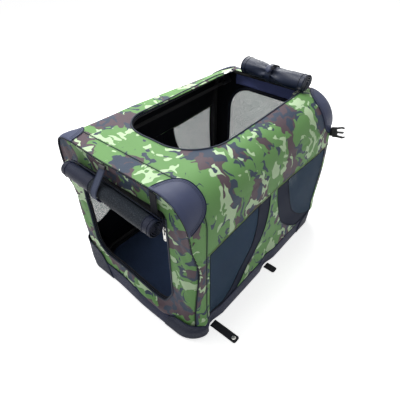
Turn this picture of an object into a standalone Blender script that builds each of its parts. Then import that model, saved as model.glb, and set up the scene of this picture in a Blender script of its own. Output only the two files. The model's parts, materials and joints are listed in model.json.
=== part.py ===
"""Soft-sided folding pet travel crate.

Two bent steel hoops stand in brackets on a ring of tube and carry a sewn cover with a
doorway in front, an opening on top and two windows in each side. Two rails under the
shoulders hold the hoops apart. With the rails down, both hoops fold flat over the floor.

Metres, +Z up. The origin is the middle of the base. -Y is the doorway's end and +X the
right side.
"""

import math

import bmesh
import bpy
from mathutils import Matrix, Vector
from mathutils.geometry import convex_hull_2d

# Overall size
LENGTH = 0.600
WIDTH = 0.420
HEIGHT = 0.440
SHOULDER_RADIUS = 0.087

# Cloth, running gap and rounding
FABRIC = 0.002
GAP = 0.0003
ARC_STEPS = 8

# Base band with its bottom, a tray of coated cloth
BAND_HEIGHT = 0.045
BAND_TOP_RADIUS = 0.024
BAND_FOOT_RADIUS = 0.085
BAND_FOOT_INSET = 0.001
BAND_FOOT_HEIGHT = 0.003
BAND_HEM = 0.006

# Steel tube of the frame
TUBE_RADIUS = 0.006
TUBE_WALL = 0.0012
RING_CORNER_RADIUS = 0.074
RING_JOINT = 0.0006

# Hoops and their pivots
REAR_PIVOT_HEIGHT = 0.085
FRONT_PIVOT_HEIGHT = 0.045
REAR_BEND = 0.078
FRONT_BEND = 0.072
HOOP_CLEARANCE = 0.0015
HOOP_STEPS = 10
TUBE_PAST_PIVOT = 0.0065
PIN_RADIUS = 0.002
PIN_HEAD_RADIUS = 0.0042
PIN_HEAD = 0.0015
CHEEK = 0.003
CHEEK_RADIUS = 0.0085
COLUMN_WIDTH = 0.020
FRONT_FOOT_FROM_PIVOT = 0.0165

# Rails under the shoulders and their clips
RAIL_RADIUS = 0.005
RAIL_WALL = 0.001
RAIL_INSET = 0.036
CLIP_WALL = 0.0026
CLIP_LENGTH = 0.014
SLEEVE_WALL = 0.0017
SLEEVE_LENGTH = 0.036
SLEEVE_END = 0.004
CUP_FROM = 132
CUP_TO = 298

# Floor
BOARD_THICKNESS = 0.003
MAT_THICKNESS = 0.0125
MAT_INSET = 0.030
MAT_CORNER = 0.052
MAT_ROUNDING = 0.005

# Cover
COLLAR_LENGTH = 0.046
SIDE_SEAM_BELOW_TOP = 0.145
PIPING_RADIUS = 0.002
HEM_CORNER = 0.001

# Side windows: quarter ellipses with a curved band
WINDOW_FRONT_MARGIN = 0.058
WINDOW_REAR_MARGIN = 0.022
WINDOW_SPACING = 0.130
WINDOW_BOTTOM = 0.050
WINDOW_TOP_MARGIN = 0.005
BAND_ABOVE_FOOT = 0.002
WINDOW_CUT_BELOW = 0.001
BAND_WIDTH_TOP = 0.050
BAND_WIDTH_FOOT = 0.025
MESH_THICKNESS = 0.001

# Doorway in the front panel
DOOR_SIDE_MARGIN = 0.070
DOOR_SILL = 0.092
DOOR_TOP_MARGIN = 0.044
DOOR_CORNER = 0.055
DOOR_TOP_CORNER = 0.012

# Opening in the roof
ROOF_OPENING_SIDE_MARGIN = 0.090
ROOF_OPENING_FRONT_MARGIN = 0.115
ROOF_OPENING_REAR_MARGIN = 0.022
ROOF_OPENING_FLAT = 0.015
ROOF_OPENING_SQUARE_CORNER = 0.004

# Window in the rear panel
REAR_WINDOW_SIDE_MARGIN = 0.060
REAR_WINDOW_SILL = 0.080
REAR_WINDOW_TOP_MARGIN = 0.052
REAR_WINDOW_TOP_RADIUS = 0.085
REAR_WINDOW_FOOT_RADIUS = 0.040
BINDING_WIDTH = 0.010

# Zip tapes, sliders and pulls
TAPE_WIDTH = 0.008
TAPE_SHORT_OF_REAR = 0.005
SLIDER_LENGTH = 0.012
SLIDER_WIDTH = 0.009
SLIDER_HEEL = 0.0056
SLIDER_NOSE = 0.0072
SLIDER_SHOULDER = 0.0022
SLIDER_HEIGHT = 0.0028
CROWN_LENGTH = 0.0110
CROWN_HEIGHT = 0.0044
CROWN_BAR = 0.0013
CROWN_WIDTH = 0.0024
CROWN_ROUNDING = 0.0018
CROWN_LIFT = 0.0001
SMALL_ROUNDING = 0.0006
PULL_LENGTH = 0.027
PULL_WIDTH = 0.0078
PULL_THICKNESS = 0.0012
PULL_SLOT_WIDTH = 0.0036
PULL_SLOT_LENGTH = 0.0095
PULL_EYE = 0.0018
PULL_EYE_FROM_TIP = 0.0043
PULL_TIP_ROUNDING = 0.0035
FRONT_SLIDER_BELOW_ROLL = 0.040
ROOF_SLIDER_FROM_REAR = 0.048

# Rolled doors
ROLL_RADIUS = 0.024
ROLL_TURNS = 4
ROLL_LAYER_GAP = 0.0007
ROLL_CORE = 0.0035
FRONT_ROLL_PAST_DOOR = 0.006
FRONT_ROLL_BELOW_TOP = 0.058
ROOF_ROLL_PAST_OPENING = 0.010
ROOF_ROLL_FROM_REAR = 0.004
WAIST_RATIO = 0.74
WAIST_FLAT = 0.013
WAIST_REACH = 0.055
STRAP_THICKNESS = 0.0016
ROLL_STRAP_WIDTH = 0.025
LEFT_ROLL_STRAP = -0.026
RIGHT_ROLL_STRAP_FROM_END = 0.028
STRAP_ROUND_ROLL = "left"
STRAP_SLACK = 0.0006
STRAP_BELOW_PIPING = 0.003
TOGGLE_RADIUS = 0.004
TOGGLE_LENGTH = 0.020
TOGGLE_CHAMFER = 0.0012
TIE_WIDTH = 0.022
KNOT_SIZE = 0.016
KNOT_DEPTH = 0.009
KNOT_HEIGHT = 0.0145
KNOT_LEAN = 135
KNOT_OUT = 0.0055
FRONT_ROLL_TURN = 60
ROOF_ROLL_TURN = -120

# Reinforcing patches
PATCH_THICKNESS = 0.0012
PATCH_DEPTH = 0.060
PATCH_ON_ROOF = 0.016
PATCH_ON_SIDE = 0.006
PATCH_BLUNT = 0.30

# Closing straps at the base edge
BASE_STRAP_WIDTH = 0.022
BASE_STRAP_TIP_ROUNDING = 0.0055
STRAP_ROOT = 0.0007
BASE_STRAP_LENGTHS = {"front": 0.078, "middle": 0.034}
FRONT_STRAP_FROM_END = 0.068
MIDDLE_STRAP_PLACE = 0.020
STRAP_WITH_SNAP = "front"
SNAP_RADIUS = 0.0062
SNAP_HEIGHT = 0.0022
SNAP_FLAT = 0.0034
SNAP_BEVEL = 0.0006
SNAP_POST_RADIUS = 0.0022
SNAP_FROM_TIP = 0.011

# Strap with a buckle half at the rear right corner
REAR_STRAP_WIDTH = 0.025
REAR_STRAP_BELOW_TOP = 0.107
REAR_STRAP_LENGTH = 0.014
REAR_STRAP_TILT = 15
BUCKLE_WIDTH = 0.034
BUCKLE_BODY = 0.014
BUCKLE_THICKNESS = 0.006
BUCKLE_PRONG = 0.022
BUCKLE_OVER_STRAP = 0.006
BUCKLE_SHOULDER = 0.0145
BUCKLE_ARM = 0.0045
BUCKLE_ARM_BOW = 0.0030
BUCKLE_GUIDE = 0.0022

# Values that follow from the ones above
INSIDE = FABRIC + GAP
HALF_LENGTH = LENGTH / 2
HALF_WIDTH = WIDTH / 2
COVER_FOOT = BAND_HEIGHT + GAP
SIDE_SEAM_HEIGHT = HEIGHT - SIDE_SEAM_BELOW_TOP
DOOR_HALF_WIDTH = HALF_WIDTH - DOOR_SIDE_MARGIN
DOOR_LINTEL = HEIGHT - DOOR_TOP_MARGIN
ROOF_OPENING_HALF_WIDTH = HALF_WIDTH - ROOF_OPENING_SIDE_MARGIN
ROOF_OPENING_RADIUS = ROOF_OPENING_HALF_WIDTH - ROOF_OPENING_FLAT
ROOF_OPENING_FRONT = ROOF_OPENING_FRONT_MARGIN - HALF_LENGTH
ROOF_OPENING_REAR = HALF_LENGTH - ROOF_OPENING_REAR_MARGIN
REAR_WINDOW_HALF_WIDTH = HALF_WIDTH - REAR_WINDOW_SIDE_MARGIN
REAR_WINDOW_TOP = HEIGHT - REAR_WINDOW_TOP_MARGIN
PIPING_MIDDLE = HALF_LENGTH - PIPING_RADIUS
PANEL_OUTER = PIPING_MIDDLE - PIPING_RADIUS - GAP
PANEL_INNER = PANEL_OUTER - FABRIC
HOOP_Y = PANEL_INNER - GAP - CLIP_WALL - GAP - TUBE_RADIUS
CHEEK_REACH = TUBE_RADIUS + GAP + CHEEK
REAR_LEG = HALF_WIDTH - INSIDE - PIN_HEAD - CHEEK_REACH
FRONT_LEG = REAR_LEG - 2 * TUBE_RADIUS - HOOP_CLEARANCE
BAR_HEIGHT = HEIGHT - INSIDE - TUBE_RADIUS
RAIL_X = FRONT_LEG - RAIL_INSET
RAIL_Z = BAR_HEIGHT - RAIL_INSET
RING_Z = INSIDE + TUBE_RADIUS
RING_HALF_WIDTH = HALF_WIDTH - INSIDE - TUBE_RADIUS - GAP
RING_HALF_LENGTH = HALF_LENGTH - INSIDE - TUBE_RADIUS - GAP
FLOOR_TOP = INSIDE + BOARD_THICKNESS
ROLL_PITCH = (ROLL_RADIUS - ROLL_CORE) / ROLL_TURNS
FRONT_ROLL_HALF_LENGTH = DOOR_HALF_WIDTH + FRONT_ROLL_PAST_DOOR
FRONT_ROLL_HEIGHT = HEIGHT - FRONT_ROLL_BELOW_TOP
FRONT_ROLL_Y = -(PANEL_OUTER + GAP + STRAP_THICKNESS + STRAP_SLACK + ROLL_RADIUS)
FRONT_SLIDER_HEIGHT = FRONT_ROLL_HEIGHT - FRONT_SLIDER_BELOW_ROLL
ROLL_STRAP_PLACES = {"left": LEFT_ROLL_STRAP, "right": FRONT_ROLL_HALF_LENGTH - RIGHT_ROLL_STRAP_FROM_END}
ROOF_ROLL_HALF_LENGTH = ROOF_OPENING_HALF_WIDTH + ROOF_ROLL_PAST_OPENING
ROOF_ROLL_PLACE = HALF_LENGTH - ROOF_ROLL_FROM_REAR
ROOF_ROLL_Z = HEIGHT + GAP + ROLL_RADIUS
ROOF_SLIDER_PLACE = HALF_LENGTH - ROOF_SLIDER_FROM_REAR
BASE_STRAP_PLACES = {"front": FRONT_STRAP_FROM_END - HALF_LENGTH, "middle": MIDDLE_STRAP_PLACE}
REAR_STRAP_HEIGHT = HEIGHT - REAR_STRAP_BELOW_TOP
STRAP_PIVOT_X = HALF_WIDTH + GAP + STRAP_THICKNESS / 2

SIDES = {"left": -1, "right": 1}
ENDS = {"front": -1, "rear": 1}

COLOURS = {
    "camouflage": ((0.19, 0.36, 0.09), 0.85, 0.0),
    "navy_cloth": ((0.035, 0.045, 0.11), 0.75, 0.0),
    "black_cloth": ((0.015, 0.016, 0.022), 0.8, 0.0),
    "window_mesh": ((0.06, 0.08, 0.12), 0.7, 0.0),
    "door_mesh": ((0.025, 0.03, 0.045), 0.7, 0.0),
    "webbing": ((0.02, 0.022, 0.03), 0.8, 0.0),
    "mat": ((0.04, 0.05, 0.13), 0.95, 0.0),
    "steel_tube": ((0.10, 0.10, 0.11), 0.35, 0.6),
    "plastic": ((0.012, 0.012, 0.014), 0.4, 0.0),
    "bright_metal": ((0.75, 0.75, 0.74), 0.25, 1.0),
    "fibreboard": ((0.16, 0.13, 0.09), 0.9, 0.0),
}


def clear_scene():
    """Remove every object that the file opened with."""
    for obj in list(bpy.data.objects):
        bpy.data.objects.remove(obj)


def new_collection(name):
    """A new collection under the scene's own."""
    collection = bpy.data.collections.new(name)
    bpy.context.scene.collection.children.link(collection)
    return collection


def paint(obj, finish):
    """Give an object its own material of one of the crate's finishes."""
    colour, roughness, metallic = COLOURS[finish]
    material = bpy.data.materials.new(obj.name + "_" + finish)
    material.use_nodes = True
    shader = material.node_tree.nodes["Principled BSDF"]
    shader.inputs["Base Color"].default_value = (*colour, 1)
    shader.inputs["Roughness"].default_value = roughness
    shader.inputs["Metallic"].default_value = metallic
    obj.data.materials.clear()
    obj.data.materials.append(material)
    return obj


def place(name, mesh, matrix=Matrix()):
    """An object in the crate's collection."""
    obj = bpy.data.objects.new(name, mesh)
    PARTS.objects.link(obj)
    obj.matrix_world = matrix
    return obj


def as_cutter(obj):
    """Keep an object as a tool of a Boolean, out of the crate itself."""
    for collection in list(obj.users_collection):
        collection.objects.unlink(obj)
    CUTTERS.objects.link(obj)
    obj.hide_render = True
    obj.display_type = "WIRE"
    return obj


def combine(obj, tool, operation="DIFFERENCE"):
    """Cut a tool from an object, or join it on."""
    as_cutter(tool)
    modifier = obj.modifiers.new(tool.name, "BOOLEAN")
    modifier.operation = operation
    modifier.solver = "EXACT"
    modifier.object = tool
    return obj


def smooth(mesh, angle=40):
    """Shade the round faces smooth and keep the edges sharper than an angle."""
    mesh.shade_smooth()
    mesh.set_sharp_from_angle(angle=math.radians(angle))
    return mesh


def arc(centre, radius, start, end, steps):
    """Points on a circle, from one angle in degrees to another."""
    points = []
    for step in range(steps + 1):
        angle = math.radians(start + (end - start) * step / steps)
        points.append((centre[0] + radius * math.cos(angle), centre[1] + radius * math.sin(angle)))
    return points


def circle(centre, radius, steps=24):
    """Points all round a circle."""
    return arc(centre, radius, 0, 360 - 360 / steps, steps - 1)


def rounded_box(low, high, radii, steps=ARC_STEPS):
    """Outline of a rectangle whose corners have their own radii, from the lower left one on."""
    corners = [(low[0], low[1]), (high[0], low[1]), (high[0], high[1]), (low[0], high[1])]
    inwards = [(1, 1), (-1, 1), (-1, -1), (1, -1)]
    points = []
    for number, (corner, inward, radius) in enumerate(zip(corners, inwards, radii)):
        centre = (corner[0] + inward[0] * radius, corner[1] + inward[1] * radius)
        points += arc(centre, radius, 180 + 90 * number, 270 + 90 * number, steps)
    return points


def arch(half_width, top, radius, foot, steps=ARC_STEPS):
    """An upside-down U with round shoulders, from its left foot to its right one."""
    points = [(-half_width, foot)]
    points += arc((radius - half_width, top - radius), radius, 180, 90, steps)
    points += arc((half_width - radius, top - radius), radius, 90, 0, steps)
    points.append((half_width, foot))
    return points


def cover_arch(inset, foot):
    """The crate's cross-section, a distance inside its outer face."""
    return arch(HALF_WIDTH - inset, HEIGHT - inset, SHOULDER_RADIUS - inset, foot)


def plane_matrix(plane, middle):
    """Where an outline lies: on a plane of the crate, a distance along that plane's normal."""
    if plane == "XZ":
        return Matrix.Translation((0, middle, 0)) @ Matrix.Rotation(math.pi / 2, 4, "X")
    if plane == "YZ":
        turn = Matrix.Rotation(math.pi / 2, 4, "Z") @ Matrix.Rotation(math.pi / 2, 4, "X")
        return Matrix.Translation((middle, 0, 0)) @ turn
    return Matrix.Translation((0, 0, middle))


def mesh_of_curve(curve, name):
    """The curve's surface as a welded mesh whose faces point out."""
    guide = bpy.data.objects.new(name + "_guide", curve)
    PARTS.objects.link(guide)
    depsgraph = bpy.context.evaluated_depsgraph_get()
    mesh = bpy.data.meshes.new_from_object(guide.evaluated_get(depsgraph))
    mesh.name = name
    bpy.data.objects.remove(guide)
    form = bmesh.new()
    form.from_mesh(mesh)
    bmesh.ops.remove_doubles(form, verts=form.verts, dist=0.00001)
    bmesh.ops.recalc_face_normals(form, faces=form.faces)
    form.to_mesh(mesh)
    form.free()
    return mesh


def plate(name, loops, plane, low, high):
    """A flat piece between two distances along a plane's normal: an outline, then its holes."""
    curve = bpy.data.curves.new(name, "CURVE")
    curve.dimensions = "2D"
    curve.fill_mode = "BOTH"
    curve.extrude = abs(high - low) / 2
    for loop in loops:
        spline = curve.splines.new("POLY")
        spline.points.add(len(loop) - 1)
        for point, (across, up) in zip(spline.points, loop):
            point.co = (across, up, 0, 1)
        spline.use_cyclic_u = True
    mesh = smooth(mesh_of_curve(curve, name), 30)
    return place(name, mesh, plane_matrix(plane, (low + high) / 2))


def tube(name, points, radius, wall=None, resolution=3):
    """A round bar along a polyline, or with a wall a tube that is open at both ends."""
    curve = bpy.data.curves.new(name, "CURVE")
    curve.dimensions = "3D"
    curve.bevel_depth = radius
    curve.bevel_resolution = resolution
    curve.use_fill_caps = wall is None
    spline = curve.splines.new("POLY")
    spline.points.add(len(points) - 1)
    for point, place_on_route in zip(spline.points, points):
        point.co = (*place_on_route, 1)
    obj = place(name, smooth(mesh_of_curve(curve, name), 50))
    if wall is not None:
        shell = obj.modifiers.new("wall", "SOLIDIFY")
        shell.thickness = wall
        shell.offset = -1
    return obj


def cylinder(name, start, end, radius, sides=24):
    """A round bar between two points."""
    start, end = Vector(start), Vector(end)
    form = bmesh.new()
    turn = (end - start).to_track_quat("Z", "Y").to_matrix().to_4x4()
    bmesh.ops.create_cone(
        form, cap_ends=True, segments=sides, radius1=radius, radius2=radius,
        depth=(end - start).length, matrix=Matrix.Translation((start + end) / 2) @ turn,
    )
    mesh = bpy.data.meshes.new(name)
    form.to_mesh(mesh)
    form.free()
    return place(name, smooth(mesh))


def box(name, low, high):
    """A block between two corners."""
    low, high = Vector(low), Vector(high)
    form = bmesh.new()
    size = Matrix.Diagonal((*(high - low), 1))
    bmesh.ops.create_cube(form, size=1, matrix=Matrix.Translation((low + high) / 2) @ size)
    mesh = bpy.data.meshes.new(name)
    form.to_mesh(mesh)
    form.free()
    return place(name, mesh)


def round_edges(obj, width, segments=2, angle=40):
    """Bevel the edges that turn more than an angle."""
    bevel = obj.modifiers.new("rounding", "BEVEL")
    bevel.width = width
    bevel.segments = segments
    bevel.limit_method = "ANGLE"
    bevel.angle_limit = math.radians(angle)
    return obj


def hang_on(axis_name, position, objects):
    """Parent objects to an empty on their joint's axis, without moving them."""
    axis = bpy.data.objects.new(axis_name, None)
    PARTS.objects.link(axis)
    axis.location = position
    for obj in objects:
        obj.parent = axis
        obj.matrix_parent_inverse = Matrix.Translation(-Vector(position))


# Base


def band_outline(inset, radius):
    """The base band's plan, inset from the crate's own."""
    half = (HALF_WIDTH - inset, HALF_LENGTH - inset)
    return rounded_box((-half[0], -half[1]), half, [radius] * 4, 8)


def band_levels():
    """Height, inset and corner radius of the base band's outer face, from the bottom up."""
    return [
        (0, BAND_FOOT_INSET, BAND_FOOT_RADIUS - BAND_FOOT_INSET),
        (BAND_FOOT_HEIGHT, 0, BAND_FOOT_RADIUS),
        (BAND_HEIGHT - BAND_HEM, 0, BAND_TOP_RADIUS),
        (BAND_HEIGHT, 0, BAND_TOP_RADIUS),
    ]


def build_base_band():
    """The tray that the cover is sewn to: a loft from round foot corners to sharper top ones."""
    form = bmesh.new()
    rings = []
    for height, inset, radius in band_levels():
        rings.append([form.verts.new((x, y, height)) for x, y in band_outline(inset, radius)])
    form.faces.new(reversed(rings[0]))
    for lower, upper in zip(rings, rings[1:]):
        for number in range(len(lower)):
            following = (number + 1) % len(lower)
            form.faces.new((lower[number], lower[following], upper[following], upper[number]))
    mesh = bpy.data.meshes.new("base_band")
    form.to_mesh(mesh)
    form.free()
    obj = place("base_band", smooth(mesh, 30))
    wall = obj.modifiers.new("wall", "SOLIDIFY")
    wall.thickness = FABRIC
    wall.offset = -1
    wall.use_even_offset = True
    return paint(obj, "navy_cloth")


def ring_route():
    """The base ring's line, once round from its joint in the middle of the rear."""
    low = (-RING_HALF_WIDTH, -RING_HALF_LENGTH)
    high = (RING_HALF_WIDTH, RING_HALF_LENGTH)
    outline = rounded_box(low, high, [RING_CORNER_RADIUS] * 4, 6)
    rear_left = outline[-7:]
    rest = outline[:-7]
    joint_ends = ((-RING_JOINT / 2, RING_HALF_LENGTH), (RING_JOINT / 2, RING_HALF_LENGTH))
    plan = [joint_ends[0]] + rear_left + rest + [joint_ends[1]]
    return [(x, y, RING_Z) for x, y in plan]


def build_base_ring():
    """The ring of tube that lies in the base band."""
    return paint(tube("base_ring", ring_route(), TUBE_RADIUS, TUBE_WALL, 2), "steel_tube")


def build_floor():
    """The stiff board inside the ring and the mat on it."""
    board = (RING_HALF_WIDTH - TUBE_RADIUS - 4 * GAP, RING_HALF_LENGTH - TUBE_RADIUS - 4 * GAP)
    outline = rounded_box((-board[0], -board[1]), board, [RING_CORNER_RADIUS - TUBE_RADIUS] * 4, 5)
    paint(plate("floor_board", [outline], "XY", INSIDE, FLOOR_TOP), "fibreboard")
    mat = (HALF_WIDTH - MAT_INSET, HALF_LENGTH - MAT_INSET)
    outline = rounded_box((-mat[0], -mat[1]), mat, [MAT_CORNER] * 4, 5)
    low = FLOOR_TOP + GAP
    pad = plate("floor_mat", [outline], "XY", low, low + MAT_THICKNESS)
    paint(round_edges(pad, MAT_ROUNDING, 3), "mat")


# Frame


def hoop_points(leg, bend, pivot_height, end):
    """A hoop's line: two legs, two bends and the bar, in its own upright plane."""
    foot = pivot_height - TUBE_PAST_PIVOT
    return [(x, end * HOOP_Y, z) for x, z in arch(leg, BAR_HEIGHT, bend, foot, HOOP_STEPS)]


def build_hoop(name, leg, bend, pivot_height, end):
    """A bent tube, cross-drilled at both feet for its pins."""
    obj = tube(name, hoop_points(leg, bend, pivot_height, end), TUBE_RADIUS, TUBE_WALL)
    reach = HALF_WIDTH
    pivot = (end * HOOP_Y, pivot_height)
    drill = cylinder(name + "_drill", (-reach, *pivot), (reach, *pivot), PIN_RADIUS + GAP)
    combine(obj, drill)
    paint(obj, "steel_tube")
    hang_on(name + "_axis", (0, *pivot), [obj])


def bracket_outline(pivot_height, end):
    """A bracket's side view: a column on the base ring that leans to a round eye at the pivot."""
    eye = circle((end * HOOP_Y, pivot_height), CHEEK_RADIUS, 20)
    outer = RING_HALF_LENGTH - RING_CORNER_RADIUS + COLUMN_WIDTH / 2
    if end < 0:
        outer = HOOP_Y - FRONT_FOOT_FROM_PIVOT
    foot = [(end * outer, RING_Z), (end * (outer - COLUMN_WIDTH), RING_Z)]
    points = eye + foot
    return [points[number] for number in convex_hull_2d([Vector(point) for point in points])]


def build_bracket(name, leg, pivot_height, side, end):
    """A moulded fork that sits astride the base ring and takes a hoop's foot between its cheeks."""
    middle = side * leg
    obj = plate(name, [bracket_outline(pivot_height, end)], "YZ", middle - CHEEK_REACH, middle + CHEEK_REACH)
    slot_half = TUBE_RADIUS + GAP
    slot_floor = pivot_height - math.hypot(TUBE_PAST_PIVOT, TUBE_RADIUS) - GAP
    reach = COLUMN_WIDTH * 2
    pivot_y = end * HOOP_Y
    slot = box(
        name + "_slot", (middle - slot_half, pivot_y - reach, slot_floor),
        (middle + slot_half, pivot_y + reach, pivot_height + reach),
    )
    combine(obj, slot)
    saddle = tube(name + "_saddle", ring_route(), TUBE_RADIUS + GAP, None, 2)
    combine(obj, saddle)
    combine(obj, pin(name + "_pin", Matrix.Translation((middle, pivot_y, pivot_height))), "UNION")
    paint(obj, "plastic")


def pin(name, matrix):
    """The rivet held in a bracket's cheeks: its shank and two flat heads, as one turned shape."""
    seat = CHEEK_REACH - CHEEK / 3
    upper = [(PIN_HEAD_RADIUS, CHEEK_REACH + PIN_HEAD), (PIN_HEAD_RADIUS, seat), (PIN_RADIUS, seat)]
    lower = [(radius, -height) for radius, height in reversed(upper)]
    return turned(name, upper + lower, matrix @ Matrix.Rotation(math.pi / 2, 4, "Y"), 16)


def turned(name, profile, matrix, steps=24):
    """A profile of radii and heights turned about Z, closed at both ends on the axis."""
    mesh = bpy.data.meshes.new(name)
    points = [(0, 0, profile[0][1])] + [(radius, 0, height) for radius, height in profile]
    points.append((0, 0, profile[-1][1]))
    mesh.from_pydata(points, [(number, number + 1) for number in range(len(points) - 1)], [])
    obj = place(name, mesh, matrix)
    screw = obj.modifiers.new("turn", "SCREW")
    screw.steps = steps
    screw.render_steps = steps
    screw.use_merge_vertices = True
    screw.merge_threshold = 0.00001
    return obj


def build_frame():
    """The base ring, the hoops and the brackets that carry them."""
    build_base_ring()
    build_hoop("front_hoop", FRONT_LEG, FRONT_BEND, FRONT_PIVOT_HEIGHT, ENDS["front"])
    build_hoop("rear_hoop", REAR_LEG, REAR_BEND, REAR_PIVOT_HEIGHT, ENDS["rear"])
    for side_name, side in SIDES.items():
        build_bracket("bracket_front_" + side_name, FRONT_LEG, FRONT_PIVOT_HEIGHT, side, ENDS["front"])
        build_bracket("bracket_rear_" + side_name, REAR_LEG, REAR_PIVOT_HEIGHT, side, ENDS["rear"])


# Rails


def clip_frame(leg, bend, side, end):
    """The clip's own axes, and how far below the hoop's line the rail runs.

    X lies along the hoop, Y points out through the crate's end and Z away from the rail.
    """
    centre = Vector((side * (leg - bend), BAR_HEIGHT - bend))
    rail = Vector((side * RAIL_X, RAIL_Z))
    outward = (rail - centre).normalized()
    middle = centre + outward * bend
    axis_y = Vector((0, end, 0))
    axis_z = Vector((outward.x, 0, outward.y))
    axis_x = axis_y.cross(axis_z)
    matrix = Matrix((axis_x, axis_y, axis_z)).transposed().to_4x4()
    matrix.translation = (middle.x, end * HOOP_Y, middle.y)
    return matrix, (middle - rail).length


def cup_outline():
    """The open cup round a hoop, in a plane across it, with its mouth inward and up."""
    outer = arc((0, 0), TUBE_RADIUS + GAP + CLIP_WALL, 180 - CUP_FROM, 180 - CUP_TO, 14)
    inner = arc((0, 0), TUBE_RADIUS, 180 - CUP_TO, 180 - CUP_FROM, 14)
    return outer + inner


def build_clip(name, leg, bend, pivot_height, side, end):
    """A rail's end: a sleeve on the rail, a neck, and a cup that the hoop rests in."""
    frame, drop = clip_frame(leg, bend, side, end)
    outer_face = TUBE_RADIUS + GAP + CLIP_WALL
    half = CLIP_LENGTH / 2
    cup = plate(name, [cup_outline()], "YZ", -half, half)
    neck = box(name + "_neck", (-half, -outer_face, -drop), (half, outer_face, -outer_face + CLIP_WALL / 2))
    combine(cup, neck, "UNION")
    sleeve_radius = RAIL_RADIUS + GAP + SLEEVE_WALL
    sleeve_end = outer_face - SLEEVE_LENGTH
    sleeve = cylinder(name + "_sleeve", (0, outer_face, -drop), (0, sleeve_end, -drop), sleeve_radius)
    combine(cup, sleeve, "UNION")
    bore_start = outer_face - SLEEVE_END
    bore_end = outer_face - SLEEVE_LENGTH * 2
    bore = cylinder(name + "_bore", (0, bore_start, -drop), (0, bore_end, -drop), RAIL_RADIUS + GAP)
    combine(cup, bore)
    for tool in (neck, sleeve, bore):
        tool.matrix_world = frame
    cup.matrix_world = frame @ cup.matrix_world
    seat = tube(name + "_seat", hoop_points(leg, bend, pivot_height, end), TUBE_RADIUS + GAP)
    combine(cup, seat)
    return paint(cup, "plastic")


def build_rail(side_name, side):
    """One rail under a shoulder with its two clips."""
    front_hoop = (FRONT_LEG, FRONT_BEND, FRONT_PIVOT_HEIGHT)
    rear_hoop = (REAR_LEG, REAR_BEND, REAR_PIVOT_HEIGHT)
    clips = [
        build_clip("rail_clip_front_" + side_name, *front_hoop, side, ENDS["front"]),
        build_clip("rail_clip_rear_" + side_name, *rear_hoop, side, ENDS["rear"]),
    ]
    end = HOOP_Y + TUBE_RADIUS + GAP + CLIP_WALL - SLEEVE_END - GAP
    route = [(side * RAIL_X, -end, RAIL_Z), (side * RAIL_X, end, RAIL_Z)]
    rail = paint(tube("top_rail_" + side_name, route, RAIL_RADIUS, RAIL_WALL), "steel_tube")
    hang_on("rail_axis_" + side_name, (side * RAIL_X, 0, RAIL_Z), clips + [rail])


# Cover


def shell_outline(foot):
    """Outer and inner line of the cover's cross-section, closed at its feet."""
    return cover_arch(0, foot) + cover_arch(FABRIC, foot)[::-1]


def roof_opening_outline(inset):
    """Plan of the roof's opening: round corners in front, square ones at the rear."""
    half = ROOF_OPENING_HALF_WIDTH - inset
    radius = ROOF_OPENING_RADIUS - inset
    square = ROOF_OPENING_SQUARE_CORNER
    low = (-half, ROOF_OPENING_FRONT + inset)
    return rounded_box(low, (half, ROOF_OPENING_REAR), [radius, radius, square, square], 12)


def build_wrap():
    """The sheet over the roof and shoulders, with its opening, and the collar in front of it."""
    seam = COLLAR_LENGTH - HALF_LENGTH
    collar = plate("front_collar", [shell_outline(COVER_FOOT)], "XZ", -HALF_LENGTH, seam - GAP / 2)
    paint(collar, "camouflage")
    foot = SIDE_SEAM_HEIGHT + GAP / 2
    wrap = plate("cover_wrap", [shell_outline(foot)], "XZ", seam + GAP / 2, HALF_LENGTH)
    opening = plate(
        "roof_opening", [roof_opening_outline(0)], "XY", HEIGHT - SHOULDER_RADIUS, HEIGHT + SHOULDER_RADIUS,
    )
    paint(combine(wrap, opening), "camouflage")


def window_spans():
    """Straight upright edge and curve's far end of each window, along the side."""
    return {
        "front": (WINDOW_FRONT_MARGIN - HALF_LENGTH, -WINDOW_SPACING / 2),
        "rear": (HALF_LENGTH - WINDOW_REAR_MARGIN, WINDOW_SPACING / 2),
    }


def quarter_ellipse(corner, reach, depth, floor):
    """A quarter of an ellipse about its upper corner, cut off level at a floor."""
    points = [corner]
    last = math.degrees(math.asin(min(1.0, (corner[1] - floor) / depth)))
    for angle_y, angle_z in arc((0, 0), 1, 0, last, 14):
        points.append((corner[0] + reach * angle_y, corner[1] - depth * angle_z))
    if depth > corner[1] - floor:
        points.append((corner[0], floor))
    return points


def window_outlines(end_name, inset):
    """Mesh and band outlines of one window, drawn in by half the gap between neighbours."""
    edge, far = window_spans()[end_name]
    away = math.copysign(1, far - edge)
    corner = (edge + away * inset, SIDE_SEAM_HEIGHT - WINDOW_TOP_MARGIN - inset)
    reach = abs(far - edge) - inset
    depth = corner[1] + inset - WINDOW_BOTTOM - inset
    mesh = quarter_ellipse(corner, away * (reach - inset), depth - inset, WINDOW_BOTTOM - WINDOW_CUT_BELOW)
    floor = COVER_FOOT + BAND_ABOVE_FOOT
    outer = quarter_ellipse(
        corner, away * (reach + BAND_WIDTH_TOP - inset), depth + BAND_WIDTH_FOOT - inset, floor + inset,
    )
    return mesh, outer


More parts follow.
